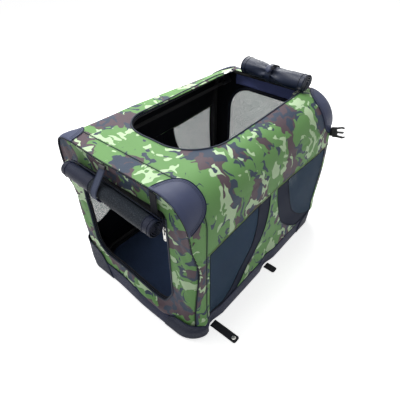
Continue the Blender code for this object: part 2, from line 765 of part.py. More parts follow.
def build_side(side_name, side):
    """One side below the shoulder: the cloth, two curved bands and two windows of mesh."""
    low, high = sorted((side * (HALF_WIDTH - FABRIC), side * HALF_WIDTH))
    seam = COLLAR_LENGTH - HALF_LENGTH + GAP / 2
    cloth = rounded_box((seam, COVER_FOOT), (HALF_LENGTH, SIDE_SEAM_HEIGHT - GAP / 2), [HEM_CORNER] * 4, 1)
    holes = [window_outlines(end_name, 0)[1] for end_name in ENDS]
    panel = plate("side_panel_" + side_name, [cloth] + holes, "YZ", low, high)
    paint(panel, "camouflage")
    for end_name in ENDS:
        mesh, outer = window_outlines(end_name, GAP)
        hole = plate("band_hole", [window_outlines(end_name, 0)[0]], "YZ", -WIDTH, WIDTH)
        band = plate("window_band_%s_%s" % (end_name, side_name), [outer], "YZ", low, high)
        paint(combine(band, hole), "navy_cloth")
        middle = (low + high) / 2
        half = MESH_THICKNESS / 2
        window = plate("window_%s_%s" % (end_name, side_name), [mesh], "YZ", middle - half, middle + half)
        paint(window, "window_mesh")


def build_end_panel(name, end, hole):
    """A flat panel inside the cover's edge, with one hole."""
    outline = cover_arch(INSIDE, COVER_FOOT)
    low, high = sorted((end * PANEL_INNER, end * PANEL_OUTER))
    return paint(plate(name, [outline, hole], "XZ", low, high), "camouflage")


def door_outline(inset):
    """The doorway, with round corners at the sill and small ones at the lintel."""
    low = (inset - DOOR_HALF_WIDTH, DOOR_SILL + inset)
    high = (DOOR_HALF_WIDTH - inset, DOOR_LINTEL - inset)
    foot = DOOR_CORNER - inset
    top = DOOR_TOP_CORNER - inset
    return rounded_box(low, high, [foot, foot, top, top])


def rear_window_outline(inset):
    """The rear window, with large round corners at its top."""
    low = (inset - REAR_WINDOW_HALF_WIDTH, REAR_WINDOW_SILL + inset)
    high = (REAR_WINDOW_HALF_WIDTH - inset, REAR_WINDOW_TOP - inset)
    foot = REAR_WINDOW_FOOT_RADIUS - inset
    top = REAR_WINDOW_TOP_RADIUS - inset
    return rounded_box(low, high, [foot, foot, top, top])


def build_ends():
    """Front panel with its doorway, rear panel with its window, and the piping round both."""
    build_end_panel("front_panel", ENDS["front"], door_outline(0))
    build_end_panel("rear_panel", ENDS["rear"], rear_window_outline(0))
    binding = [rear_window_outline(GAP), rear_window_outline(BINDING_WIDTH)]
    paint(plate("rear_window_binding", binding, "XZ", PANEL_INNER, PANEL_OUTER), "black_cloth")
    middle = (PANEL_INNER + PANEL_OUTER) / 2
    half = MESH_THICKNESS / 2
    mesh = [rear_window_outline(BINDING_WIDTH + GAP)]
    paint(plate("rear_window", mesh, "XZ", middle - half, middle + half), "window_mesh")
    for end_name, end in ENDS.items():
        line = cover_arch(INSIDE + PIPING_RADIUS, COVER_FOOT)
        route = [(x, end * PIPING_MIDDLE, z) for x, z in line]
        paint(tube(end_name + "_piping", route, PIPING_RADIUS, None, 2), "black_cloth")


def build_tapes():
    """Zip tapes on the three open sides of the doorway and of the roof's opening."""
    door = plate(
        "doorway_zip_tape", [door_outline(GAP), door_outline(TAPE_WIDTH)], "XZ", -PANEL_OUTER, -PANEL_INNER,
    )
    top = DOOR_LINTEL - DOOR_TOP_CORNER
    combine(door, box("lintel_cut", (-WIDTH, -LENGTH, top), (WIDTH, 0, HEIGHT)))
    paint(door, "black_cloth")
    outline = [roof_opening_outline(GAP), roof_opening_outline(TAPE_WIDTH)]
    # The inner loop runs past the rear edge, so the tape is a U that is open at the rear.
    roof = plate("roof_zip_tape", outline[:1], "XY", HEIGHT - FABRIC, HEIGHT)
    inner = [(x, y + (HALF_LENGTH if y > 0 else 0)) for x, y in outline[1]]
    combine(roof, plate("roof_tape_cut", [inner], "XY", 0, HEIGHT + SHOULDER_RADIUS))
    rear = ROOF_OPENING_REAR - TAPE_SHORT_OF_REAR
    combine(roof, box("roof_tape_end", (-WIDTH, rear, 0), (WIDTH, LENGTH, HEIGHT * 2)))
    paint(roof, "black_cloth")


# Patches


def round_shoulder(distance, lift):
    """X and Z on the right shoulder, a distance round it from the roof's flat part."""
    centre = (HALF_WIDTH - SHOULDER_RADIUS, HEIGHT - SHOULDER_RADIUS)
    turn = min(max(distance / SHOULDER_RADIUS, 0), math.pi / 2)
    past = distance - turn * SHOULDER_RADIUS
    x = centre[0] + (SHOULDER_RADIUS + lift) * math.sin(turn) + (past if turn == 0 else 0)
    z = centre[1] + (SHOULDER_RADIUS + lift) * math.cos(turn) - (past if turn > 0 else 0)
    return x, z


def shield(across):
    """Depth of a patch across its width, blunt at both ends and full in the middle."""
    return PATCH_BLUNT + (1 - PATCH_BLUNT) * math.sqrt(max(0, 1 - (2 * across - 1) ** 2))


def grid_sheet(name, columns, rows, point, thickness):
    """A sheet over a unit grid whose points follow a function, as thick as the cloth."""
    form = bmesh.new()
    bmesh.ops.create_grid(form, x_segments=columns, y_segments=rows, size=0.5)
    for vertex in form.verts:
        vertex.co = point(vertex.co.x + 0.5, vertex.co.y + 0.5)
    mesh = bpy.data.meshes.new(name)
    form.to_mesh(mesh)
    form.free()
    obj = place(name, smooth(mesh, 60))
    shell = obj.modifiers.new("cloth", "SOLIDIFY")
    shell.thickness = thickness
    shell.offset = 0
    return obj


def build_shoulder_patch(side_name, side, end_name, end):
    """The shield of cloth sewn over one round upper corner."""
    lift = GAP + PATCH_THICKNESS / 2
    length = PATCH_ON_ROOF + SHOULDER_RADIUS * math.pi / 2 + PATCH_ON_SIDE

    def point(across, inward):
        x, z = round_shoulder(length * across - PATCH_ON_ROOF, lift)
        return side * x, end * (HALF_LENGTH - PATCH_DEPTH * shield(across) * inward), z

    name = "shoulder_patch_%s_%s" % (end_name, side_name)
    paint(grid_sheet(name, 14, 3, point, PATCH_THICKNESS), "navy_cloth")


# Rolled doors


def spiral(steps_per_turn=14):
    """Cross-section of a rolled cloth: a strip that winds out from its core."""
    half = (ROLL_PITCH - ROLL_LAYER_GAP) / 2
    outer, inner = [], []
    total = ROLL_TURNS * steps_per_turn
    for step in range(total + 1):
        turns = step / steps_per_turn
        middle = ROLL_CORE + ROLL_PITCH * turns - half
        angle = 2 * math.pi * turns
        outer.append(((middle + half) * math.cos(angle), (middle + half) * math.sin(angle)))
        inner.append(((middle - half) * math.cos(angle), (middle - half) * math.sin(angle)))
    return outer + inner[::-1]


def waist(x):
    """How far a tied roll is drawn in at a distance along it."""
    share = min(max((abs(x) - WAIST_FLAT) / WAIST_REACH, 0), 1)
    return WAIST_RATIO + (1 - WAIST_RATIO) * (share * share * (3 - 2 * share))


def build_roll(name, half_length, centre, turn, finish):
    """A rolled-up door whose ends show the spiral of its cloth."""
    obj = plate(name, [spiral()], "YZ", -half_length, half_length)
    placing = Matrix.Translation(centre) @ Matrix.Rotation(math.radians(turn), 4, "X")
    obj.matrix_world = placing @ obj.matrix_world
    return paint(obj, finish)


def pinch(obj, stations):
    """Draw a roll in at its waist, on rings cut across it at distances along it."""
    form = bmesh.new()
    form.from_mesh(obj.data)
    for station in stations:
        everything = form.verts[:] + form.edges[:] + form.faces[:]
        bmesh.ops.bisect_plane(form, geom=everything, plane_co=(0, 0, station), plane_no=(0, 0, 1))
    for vertex in form.verts:
        ratio = waist(vertex.co.z)
        vertex.co.x *= ratio
        vertex.co.y *= ratio
    form.to_mesh(obj.data)
    form.free()


def roll_strap_loops(goes_round):
    """Side view of a front roll's strap: its tail down the panel, and the turn round the roll."""
    centre = (FRONT_ROLL_Y, FRONT_ROLL_HEIGHT)
    inner = ROLL_RADIUS + STRAP_SLACK
    outer = inner + STRAP_THICKNESS
    back = centre[0] + outer
    top = HEIGHT - INSIDE - 2 * PIPING_RADIUS - STRAP_BELOW_PIPING
    meets = math.degrees(math.acos((outer - STRAP_THICKNESS) / outer))
    tail = [(back, centre[1]), (back, top), (back - STRAP_THICKNESS, top)]
    if not goes_round:
        return [tail + [(back - STRAP_THICKNESS, centre[1])]]
    return [tail + arc(centre, outer, meets, 358, 22), circle(centre, inner, 22)]


def build_front_roll():
    """The doorway's mesh door, rolled up under the front edge, and the two straps round it."""
    centre = (0, FRONT_ROLL_Y, FRONT_ROLL_HEIGHT)
    build_roll("front_door_roll", FRONT_ROLL_HALF_LENGTH, centre, FRONT_ROLL_TURN, "door_mesh")
    for side_name, place_x in ROLL_STRAP_PLACES.items():
        low, high = place_x - ROLL_STRAP_WIDTH / 2, place_x + ROLL_STRAP_WIDTH / 2
        loops = roll_strap_loops(side_name == STRAP_ROUND_ROLL)
        paint(plate("roll_strap_" + side_name, loops, "YZ", low, high), "webbing")


def build_toggle():
    """The small barrel toggle at the head of the left strap."""
    x = ROLL_STRAP_PLACES["left"]
    y = -(PANEL_OUTER + 2 * GAP + STRAP_THICKNESS + TOGGLE_RADIUS)
    z = HEIGHT - INSIDE - 2 * PIPING_RADIUS - TOGGLE_RADIUS
    half = TOGGLE_LENGTH / 2
    upper = [(TOGGLE_RADIUS - TOGGLE_CHAMFER, half), (TOGGLE_RADIUS, half - TOGGLE_CHAMFER)]
    profile = upper + [(radius, -height) for radius, height in reversed(upper)]
    matrix = Matrix.Translation((x, y, z)) @ Matrix.Rotation(math.pi / 2, 4, "Y")
    paint(turned("roll_toggle", profile, matrix, 14), "plastic")


def build_roof_roll():
    """The roof's door, rolled up on the rear edge and tied at its waist."""
    middle = (0, ROOF_ROLL_PLACE, ROOF_ROLL_Z)
    roll = build_roll("roof_door_roll", ROOF_ROLL_HALF_LENGTH, middle, ROOF_ROLL_TURN, "navy_cloth")
    distances = [WAIST_FLAT, WAIST_FLAT + WAIST_REACH / 2, WAIST_FLAT + WAIST_REACH]
    pinch(roll, [-distance for distance in distances] + distances)
    inner = ROLL_RADIUS * WAIST_RATIO + STRAP_SLACK
    centre = (ROOF_ROLL_PLACE, ROOF_ROLL_Z)
    half = TIE_WIDTH / 2
    loops = [circle(centre, inner + STRAP_THICKNESS, 24), circle(centre, inner, 24)]
    tie = plate("roof_roll_tie", loops, "YZ", -half, half)
    lean = math.radians(KNOT_LEAN)
    reach = inner + KNOT_OUT
    size = Vector((KNOT_SIZE, KNOT_DEPTH, KNOT_HEIGHT)) / 2
    knot = box("knot", -size, size)
    middle = (0, centre[0] + reach * math.cos(lean), centre[1] + reach * math.sin(lean))
    knot.matrix_world = Matrix.Translation(middle) @ Matrix.Rotation(lean, 4, "X")
    hollow = cylinder("knot_hollow", (-WIDTH, *centre), (WIDTH, *centre), inner)
    combine(knot, hollow)
    combine(tie, knot, "UNION")
    paint(tie, "navy_cloth")


# Zips


def slider_outline(length, width):
    """A slider seen from above: wide shoulders and a narrower heel."""
    right = [(SLIDER_HEEL / 2, -length / 2), (width / 2, SLIDER_SHOULDER), (SLIDER_NOSE / 2, length / 2)]
    return right + [(-x, y) for x, y in reversed(right)]


def build_slider(name, matrix):
    """A zip slider with the crown that its pull hangs on; its pull hangs towards -Y."""
    body = plate(name, [slider_outline(SLIDER_LENGTH, SLIDER_WIDTH)], "XY", 0, SLIDER_HEIGHT)
    half = CROWN_LENGTH / 2
    low = SLIDER_HEIGHT - CROWN_BAR
    top = SLIDER_HEIGHT + CROWN_HEIGHT
    rounding = [SMALL_ROUNDING, SMALL_ROUNDING, CROWN_ROUNDING, CROWN_ROUNDING]
    outer = rounded_box((-half, low), (half, top), rounding, 3)
    inner_low = (CROWN_BAR - half, SLIDER_HEIGHT + CROWN_LIFT)
    inner = rounded_box(inner_low, (half - CROWN_BAR, top - CROWN_BAR), [SMALL_ROUNDING] * 4, 2)
    crown = plate(name + "_crown", [outer, inner], "YZ", -CROWN_WIDTH / 2, CROWN_WIDTH / 2)
    crown.matrix_world = matrix @ crown.matrix_world
    body.matrix_world = matrix @ body.matrix_world
    return paint(combine(body, crown, "UNION"), "bright_metal")


def pull_pivot():
    """Where a pull's bar lies in its slider's crown, along the slider and above its foot."""
    along = -CROWN_LENGTH / 2 + CROWN_BAR + PULL_THICKNESS / 2 + GAP * 2
    return Vector((0, along, SLIDER_HEIGHT + PULL_THICKNESS / 2 + GAP * 2))


def build_pull(name, matrix):
    """A pull tab: a bar in the crown, a slot that the crown passes through, and an eye."""
    half = PULL_WIDTH / 2
    bar = PULL_THICKNESS / 2
    rounding = [PULL_TIP_ROUNDING, PULL_TIP_ROUNDING, SMALL_ROUNDING, SMALL_ROUNDING]
    outline = rounded_box((-half, -PULL_LENGTH), (half, bar), rounding, 5)
    slot_half = PULL_SLOT_WIDTH / 2
    slot = rounded_box((-slot_half, -bar - PULL_SLOT_LENGTH), (slot_half, -bar), [SMALL_ROUNDING] * 4, 2)
    eye = circle((0, PULL_EYE_FROM_TIP - PULL_LENGTH), PULL_EYE, 14)
    pull = plate(name, [outline, slot, eye], "XY", -bar, bar)
    pull.matrix_world = matrix @ Matrix.Translation(pull_pivot())
    return paint(pull, "bright_metal")


def build_zip_set(prefix, matrix):
    """A slider and its pull, each on an empty at its own joint."""
    slider = build_slider(prefix + "_zip_slider", matrix)
    pull = build_pull(prefix + "_zip_pull", matrix)
    hang_on(prefix + "_zip_track", matrix.translation, [slider])
    hang_on(prefix + "_pull_axis", matrix @ pull_pivot(), [pull])


def build_zips():
    """One slider on the doorway's right track and one at the rear of each roof track."""
    track = DOOR_HALF_WIDTH - TAPE_WIDTH / 2
    upright = Matrix.Rotation(math.pi / 2, 4, "X")
    place_front = Matrix.Translation((track, -PANEL_OUTER - GAP, FRONT_SLIDER_HEIGHT))
    build_zip_set("front", place_front @ upright)
    track = ROOF_OPENING_HALF_WIDTH - TAPE_WIDTH / 2
    for side_name, side in SIDES.items():
        place_roof = Matrix.Translation((side * track, ROOF_SLIDER_PLACE, HEIGHT + GAP))
        build_zip_set("roof_" + side_name, place_roof)


# Straps


def build_base_strap(end_name, side_name, side):
    """A closing strap of webbing that lies out from under the base edge, and its snap cap."""
    length = BASE_STRAP_LENGTHS[end_name]
    middle = BASE_STRAP_PLACES[end_name]
    half = BASE_STRAP_WIDTH / 2
    tip = BASE_STRAP_TIP_ROUNDING
    root = STRAP_ROOT
    outline = rounded_box((-root, -half), (length, half), [SMALL_ROUNDING, tip, tip, SMALL_ROUNDING], 4)
    outline = [(STRAP_PIVOT_X + x, y) for x, y in outline]
    snap_x = STRAP_PIVOT_X + length - SNAP_FROM_TIP
    loops = [outline]
    if end_name == STRAP_WITH_SNAP:
        loops.append(circle((snap_x, 0), SNAP_POST_RADIUS + GAP, 16))
    name = "base_strap_%s_%s" % (end_name, side_name)
    strap = plate(name, loops, "XY", 0, STRAP_THICKNESS)
    turn = Matrix.Rotation(0 if side > 0 else math.pi, 4, "Z")
    placing = Matrix.Translation((0, middle, 0)) @ turn
    strap.matrix_world = placing @ strap.matrix_world
    carried = [paint(strap, "webbing")]
    if end_name == STRAP_WITH_SNAP:
        carried.append(build_snap("strap_snap_" + side_name, placing @ Matrix.Translation((snap_x, 0, 0))))
    hang_on(name + "_axis", (side * STRAP_PIVOT_X, middle, STRAP_THICKNESS / 2), carried)


def build_snap(name, matrix):
    """A snap fastener's domed cap, with its post through the webbing."""
    top = STRAP_THICKNESS + GAP
    profile = [(SNAP_FLAT, top + SNAP_HEIGHT), (SNAP_RADIUS - SNAP_BEVEL, top + SNAP_HEIGHT - SNAP_BEVEL),
               (SNAP_RADIUS, top), (SNAP_POST_RADIUS, top), (SNAP_POST_RADIUS, 0)]
    return paint(turned(name, profile, matrix, 18), "bright_metal")


def buckle_outline():
    """The plug half of a side-release buckle, seen flat: body, two spring arms and a guide."""
    half = BUCKLE_WIDTH / 2
    body = BUCKLE_BODY
    tip = body + BUCKLE_PRONG
    root = half - BUCKLE_ARM_BOW
    hook = BUCKLE_PRONG / 3
    upper = [
        (body, BUCKLE_GUIDE), (body, root - BUCKLE_ARM), (tip - hook, half - BUCKLE_ARM),
        (tip, root - BUCKLE_ARM / 2), (tip, root), (tip - hook, half),
        (body, BUCKLE_SHOULDER), (0, BUCKLE_SHOULDER),
    ]
    guide = [(tip - hook / 2, BUCKLE_GUIDE)]
    half_outline = guide + upper
    return [(x, -z) for x, z in reversed(half_outline)] + half_outline


def build_rear_strap():
    """The short strap in the rear right corner seam with the buckle half at its end, both tilted up."""
    pivot = Vector((STRAP_PIVOT_X, PIPING_MIDDLE - 2 * PIPING_RADIUS, REAR_STRAP_HEIGHT))
    half = REAR_STRAP_WIDTH / 2
    tilt = math.radians(REAR_STRAP_TILT)
    start = GAP - STRAP_THICKNESS / 2
    corners = [(start, -half), (REAR_STRAP_LENGTH, -half), (REAR_STRAP_LENGTH, half), (start, half)]
    outline = [(x, z + x * math.tan(tilt)) for x, z in corners]
    strap = plate("rear_strap", [outline], "XZ", -STRAP_THICKNESS / 2, STRAP_THICKNESS / 2)
    strap.matrix_world = Matrix.Translation(pivot) @ strap.matrix_world
    paint(strap, "webbing")
    entry = REAR_STRAP_LENGTH - BUCKLE_OVER_STRAP
    outline = [(entry + x, z) for x, z in buckle_outline()]
    buckle = plate("rear_buckle", [outline], "XZ", -BUCKLE_THICKNESS / 2, BUCKLE_THICKNESS / 2)
    slot_half = STRAP_THICKNESS / 2 + GAP
    strap_end = REAR_STRAP_LENGTH / math.cos(tilt) + half * math.sin(tilt) + GAP
    slot = box("buckle_slot", (0, -slot_half, -half - GAP), (strap_end, slot_half, half + GAP))
    placing = Matrix.Translation(pivot) @ Matrix.Rotation(-tilt, 4, "Y")
    buckle.matrix_world = placing @ buckle.matrix_world
    slot.matrix_world = placing
    paint(combine(buckle, slot), "plastic")
    hang_on("rear_strap_axis", pivot, [strap, buckle])


def build_crate():
    """Everything, from the base up."""
    build_base_band()
    build_floor()
    build_frame()
    for side_name, side in SIDES.items():
        build_rail(side_name, side)
        build_side(side_name, side)
        for end_name, end in ENDS.items():
            build_shoulder_patch(side_name, side, end_name, end)
        for end_name in BASE_STRAP_PLACES:
            build_base_strap(end_name, side_name, side)
    build_wrap()
    build_ends()
    build_tapes()
    build_front_roll()
    build_toggle()
    build_roof_roll()
    build_zips()
    build_rear_strap()


clear_scene()
PARTS = new_collection("pet_travel_crate")
CUTTERS = new_collection("cutters")
build_crate()
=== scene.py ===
"""Looks of a soft-sided folding pet travel crate in camouflage cloth.

The frame, the rivets and the zips' metal come from the CAD. Each piece of cloth is cut flat
on a fine grid, with its holes, and then laid over the crate, so that its weave and its print
keep their real scale. Metres, +Z up, -Y the doorway's end and +X the crate's right side.
"""

import json
import math

import bmesh
import bpy
import numpy
from mathutils import Matrix, Vector, noise
from mathutils.geometry import delaunay_2d_cdt
from mathutils.kdtree import KDTree

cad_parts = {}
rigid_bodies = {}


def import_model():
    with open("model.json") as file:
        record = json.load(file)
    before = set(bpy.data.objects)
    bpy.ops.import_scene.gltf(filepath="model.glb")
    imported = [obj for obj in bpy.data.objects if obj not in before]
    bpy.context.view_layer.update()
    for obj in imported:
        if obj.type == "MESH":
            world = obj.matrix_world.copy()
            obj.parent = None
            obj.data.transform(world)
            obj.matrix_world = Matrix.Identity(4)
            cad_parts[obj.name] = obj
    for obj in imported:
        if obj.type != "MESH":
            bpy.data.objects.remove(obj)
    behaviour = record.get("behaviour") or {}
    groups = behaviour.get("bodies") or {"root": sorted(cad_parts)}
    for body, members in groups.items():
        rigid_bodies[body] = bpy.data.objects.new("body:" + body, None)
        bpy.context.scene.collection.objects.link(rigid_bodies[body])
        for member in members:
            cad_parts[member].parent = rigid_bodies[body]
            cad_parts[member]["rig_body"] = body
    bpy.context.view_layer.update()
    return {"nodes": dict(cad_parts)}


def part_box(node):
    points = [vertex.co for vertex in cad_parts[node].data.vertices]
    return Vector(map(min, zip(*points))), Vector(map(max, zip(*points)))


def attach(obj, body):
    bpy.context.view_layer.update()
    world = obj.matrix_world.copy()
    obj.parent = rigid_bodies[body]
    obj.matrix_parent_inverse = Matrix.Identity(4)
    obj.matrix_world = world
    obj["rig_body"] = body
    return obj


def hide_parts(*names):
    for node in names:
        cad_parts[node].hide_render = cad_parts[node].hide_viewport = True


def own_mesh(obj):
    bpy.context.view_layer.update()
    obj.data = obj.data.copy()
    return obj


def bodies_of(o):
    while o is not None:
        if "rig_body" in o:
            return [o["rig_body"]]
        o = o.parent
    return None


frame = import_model()

# The crate's main lines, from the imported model
HALF_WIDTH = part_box("cover_wrap")[1].x
HALF_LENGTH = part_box("cover_wrap")[1].y
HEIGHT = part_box("cover_wrap")[1].z
COVER_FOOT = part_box("front_collar")[0].z
SIDE_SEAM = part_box("side_panel_right")[1].z - 0.004
COLLAR_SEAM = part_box("front_collar")[1].y
BAND_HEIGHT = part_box("base_band")[1].z
TUBE_RADIUS = 0.006
HOOP_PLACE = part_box("rear_hoop")[1].y - TUBE_RADIUS
SHOULDER_RADIUS = 0.087

# Sheets of cloth, and what they are stretched over
FRAME_TUBES = ("front_hoop", "rear_hoop", "top_rail_left", "top_rail_right")
NARROWEST_SHEET = 0.020
LEAST_SHARE = 0.31

# Cloth
CELL = 0.0055
CLOTH = 0.0016
MESH_CLOTH = 0.0002
STREAK_PITCH = 0.0042
PATCH_CLOTH = 0.0010
LAYER = 0.0004
SEAM_INSET = 0.0005
SEAM_CORD_RADIUS = 0.0011
ROOF_SAG = 0.004
SIDE_SAG = 0.008

# Upright corners of the cover, round in front and nearly square at the rear
CORNER_FOOT = 0.034
CORNER_TOP = 0.004
CORNER_EASES_FROM = 0.25
REAR_CORNER = 0.006
PANEL_RECESS = 0.0030
PANEL_SHOULDER_INSET = 0.0020
PIPING_RADIUS = 0.0019
PIPING_INSET = 0.0014
SEAM_HEIGHTS = (0.045, 0.090, 0.135, 0.180, 0.215, 0.240, 0.275, 0.315, 0.353)
SEAM_SHARES = (0.47, 0.44, 0.38, 0.31, 0.24, 0.215, 0.28, 0.42, 0.50)
FRONT_EDGE_LEAN = 0.0065
LEFT_SHOULDER_SQUARE = 5.0
SIDE_BULGE = 0.010
SEAM_DIP = 0.017
REAR_BULGE_FADES = 0.35
SIDE_BULGE_HEIGHT = 0.225
SIDE_BULGE_REACH = 0.175
SEAM_DIP_HEIGHT = 0.288
SEAM_DIP_REACH = 0.085
COLLAR_FOLD_PITCH = 0.0115
COLLAR_FOLD_DEPTH = 0.0011
COLLAR_FOLD_HEIGHT = 0.265
COLLAR_FOLD_REACH = 0.075
PANEL_WAVE_PITCH = 0.030
OPENING_WIDENS = 0.014
FOOT_SWELL = 0.0040
FRONT_SWELL = 0.0100

# Openings
ROOF_HALF_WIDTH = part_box("roof_zip_tape")[1].x
ROOF_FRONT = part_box("roof_zip_tape")[0].y + 0.009
ROOF_REAR = 0.278
ROOF_LEFT_RADIUS = 0.078
ROOF_RIGHT_RADIUS = 0.108
ROOF_SQUARE_CORNER = 0.004
DOOR_HALF_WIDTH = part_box("doorway_zip_tape")[1].x
DOOR_LEFT = -DOOR_HALF_WIDTH - 0.006
DOOR_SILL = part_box("doorway_zip_tape")[0].z
DOOR_LINTEL = 0.387
DOOR_CORNER = 0.055
DOOR_HEAD = 0.030
SILL_SAG = 0.018
SILL_SAG_AT_FOOT = 0.20
DOOR_TOP_CORNER = 0.012
TAPE_WIDTH = 0.008
TAPE_TURN = 80
EDGE_BINDING_RADIUS = 0.0021
TEETH_PITCH = 0.0016
TEETH_RADIUS = 0.00045

# Windows
WINDOW_EDGES = {
    "front_right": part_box("window_front_right")[0].y, "front_left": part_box("window_front_left")[0].y - 0.009,
    "rear_right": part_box("window_rear_right")[1].y, "rear_left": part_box("window_rear_left")[1].y,
}
WINDOW_BOTTOM = 0.050
WINDOW_TOP = 0.286
# Where the mesh's curve starts at its top, the mesh's lowest height, and how full the curve is
WINDOW_CURVES = {
    "front_right": (-0.058, WINDOW_BOTTOM, 2.4), "front_left": (-0.058, 0.118, 1.4),
    "rear_right": (0.080, WINDOW_BOTTOM, 1.65), "rear_left": (0.086, WINDOW_BOTTOM, 1.65),
}
BAND_FULLNESS = {"front": 2.2, "rear": 1.85}
BAND_WIDTH_TOP = 0.052
BAND_WIDTH_FOOT = 0.025
BAND_FLOOR = COVER_FOOT + 0.002
REAR_WINDOW_LOW, REAR_WINDOW_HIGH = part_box("rear_window_binding")
REAR_WINDOW_TOP_RADIUS = 0.085
REAR_WINDOW_FOOT_RADIUS = 0.040
BINDING_WIDTH = 0.010
WINDOW_CORD_RADIUS = 0.0010

# Patches
# Depth along the crate, reach over the roof and reach below the shoulder, at each end
PATCH_SIZES = {
    "front_left": (0.064, -0.022, -0.010), "front_right": (0.066, 0.014, -0.018),
    "rear_left": (0.052, -0.006, 0.024), "rear_right": (0.052, -0.006, 0.024),
}
PATCH_CROWN = 0.004
PATCH_SQUARENESS = 2.8
PATCH_FULLNESS = 0.64
STITCH_INSET = 0.0060
STITCH_LENGTH = 0.0034
STITCH_GAP = 0.0016
STITCH_RADIUS = 0.00035

# Rolled doors and straps
ROLL_RADIUS = 0.0235
ROLL_TURNS = 4
ROLL_CORE = 0.0035
ROLL_CLOTH = 0.0014
STRAP_THICKNESS = 0.0014
CLOSING_STRAPS = ("base_strap_front_right", "base_strap_middle_right")
STRAP_PLACES = [(low.y + high.y) / 2 for low, high in map(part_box, CLOSING_STRAPS)]
# Share of the way from a closing strap's root to its tip, and its height over the floor there
STRAP_LIES = [
    (0, 0.0017), (0.18, 0.0017 + 0.0006 * 0.8), (0.4, 0.0017 + 0.0006),
    (0.65, 0.0019), (0.8, 0.0016), (1, 0.0016),
]
# How far a closing strap draws the tray's side in, and over what length
STRAP_DRAWS_IN = 0.0035
STRAP_DRAWS_OVER = 0.040
WAIST_RATIO = 0.91
PLEAT_DEPTH = 0.20
WAIST_FLAT = 0.010
WAIST_REACH = 0.060

FRONT_ROLL_LOW, FRONT_ROLL_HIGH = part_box("front_door_roll")
ROOF_ROLL_LOW, ROOF_ROLL_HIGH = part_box("roof_door_roll")
FRONT_ROLL_RADIUS = 0.0222
FRONT_ROLL_DROOP = 0.019
FRONT_ROLL_CENTRE = (
    (FRONT_ROLL_LOW.y + FRONT_ROLL_HIGH.y) / 2,
    (FRONT_ROLL_LOW.z + FRONT_ROLL_HIGH.z) / 2,
)
# The roof roll lies further forward than its CAD solid, on the roof's edge
ROOF_ROLL_FORWARD = 0.027
ROOF_ROLL_SINKS = 0.002
ROOF_ROLL_CENTRE = (
    (ROOF_ROLL_LOW.y + ROOF_ROLL_HIGH.y) / 2 - ROOF_ROLL_FORWARD,
    (ROOF_ROLL_LOW.z + ROOF_ROLL_HIGH.z) / 2 - ROOF_ROLL_SINKS,
)
ROOF_ROLL_FLATTENED = 1.28
ROOF_ROLL_RISES = 0.008
TIE_PLACE = 0.020
KNOT_TURN = math.radians(132)
HEMMED_UP_TO = -0.052
RIGHT_HEM_FROM = 0.114
STRAP_PLACE = (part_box("roll_strap_left")[0].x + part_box("roll_strap_left")[1].x) / 2
ELASTIC_PLACE = (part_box("roll_strap_right")[0].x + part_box("roll_strap_right")[1].x) / 2
STRAP_WIDTH = 0.019
BASE_STRAP_WIDTH = 0.022
BASE_STRAP_TIP = 0.0055
SNAP_FROM_TIP = 0.011
SNAP_HOLE_RADIUS = 0.0026
REAR_STRAP_WIDTH = 0.0245
REAR_STRAP_TILT = math.radians(15)
TIE_WIDTH = 0.017
TAIL_WIDTH = 0.0060

# Tray
TRAY_RISE = 0.009
# Height, inset from the full size, corner radius and share of the swell at levels up the tray
TRAY_LEVELS = [
    (0.0000, 0.0030, 0.044, 0.70), (0.0014, 0.0012, 0.046, 0.85), (0.0040, 0.0002, 0.047, 1.00),
    (0.0085, 0.0000, 0.047, 1.05), (0.0140, 0.0000, 0.046, 1.05), (0.0200, 0.0000, 0.044, 1.00),
    (0.0260, 0.0000, 0.041, 0.95), (0.0320, 0.0000, 0.038, 0.90), (0.0380, 0.0000, 0.036, 0.80),
    (0.0420, 0.0000, 0.035, 0.72), (0.0450, 0.0000, 0.034, 0.66),
]
# Middle round the corner, half length, top and squareness of the arched patch on each corner of the tray
FOOT_PATCHES = {
    "front_left": (0.0, 0.100, 0.103, 1.0), "front_right": (-0.024, 0.056, 0.066, 0.7),
    "rear_left": (0.0, 0.090, 0.050, 0.5), "rear_right": (0.0, 0.090, 0.050, 0.5),
}
FOOT_PATCH_FLOOR = 0.0012

# Mat
MAT_CORNER = 0.052
MAT_EDGE = 0.022
MAT_CELL = 0.009

FLAT = HALF_WIDTH - SHOULDER_RADIUS
ARC = SHOULDER_RADIUS * math.pi / 2
SHOULDER_FOOT = HEIGHT - SHOULDER_RADIUS
SIDES = {"left": -1, "right": 1}
ENDS = {"front": -1, "rear": 1}

# Light on the set
SKY_LIGHT = 0.30
FLOOR_GLOW = 0.70

# The photograph's view: turn, tilt and roll in degrees, lens in millimetres, and place
VIEW_ANGLES = (40.84, 39.94, -0.82)
VIEW_LENS = 33.002
VIEW_PLACE = (0.53400597, -0.64967045, 0.85991527)


# Shader groups


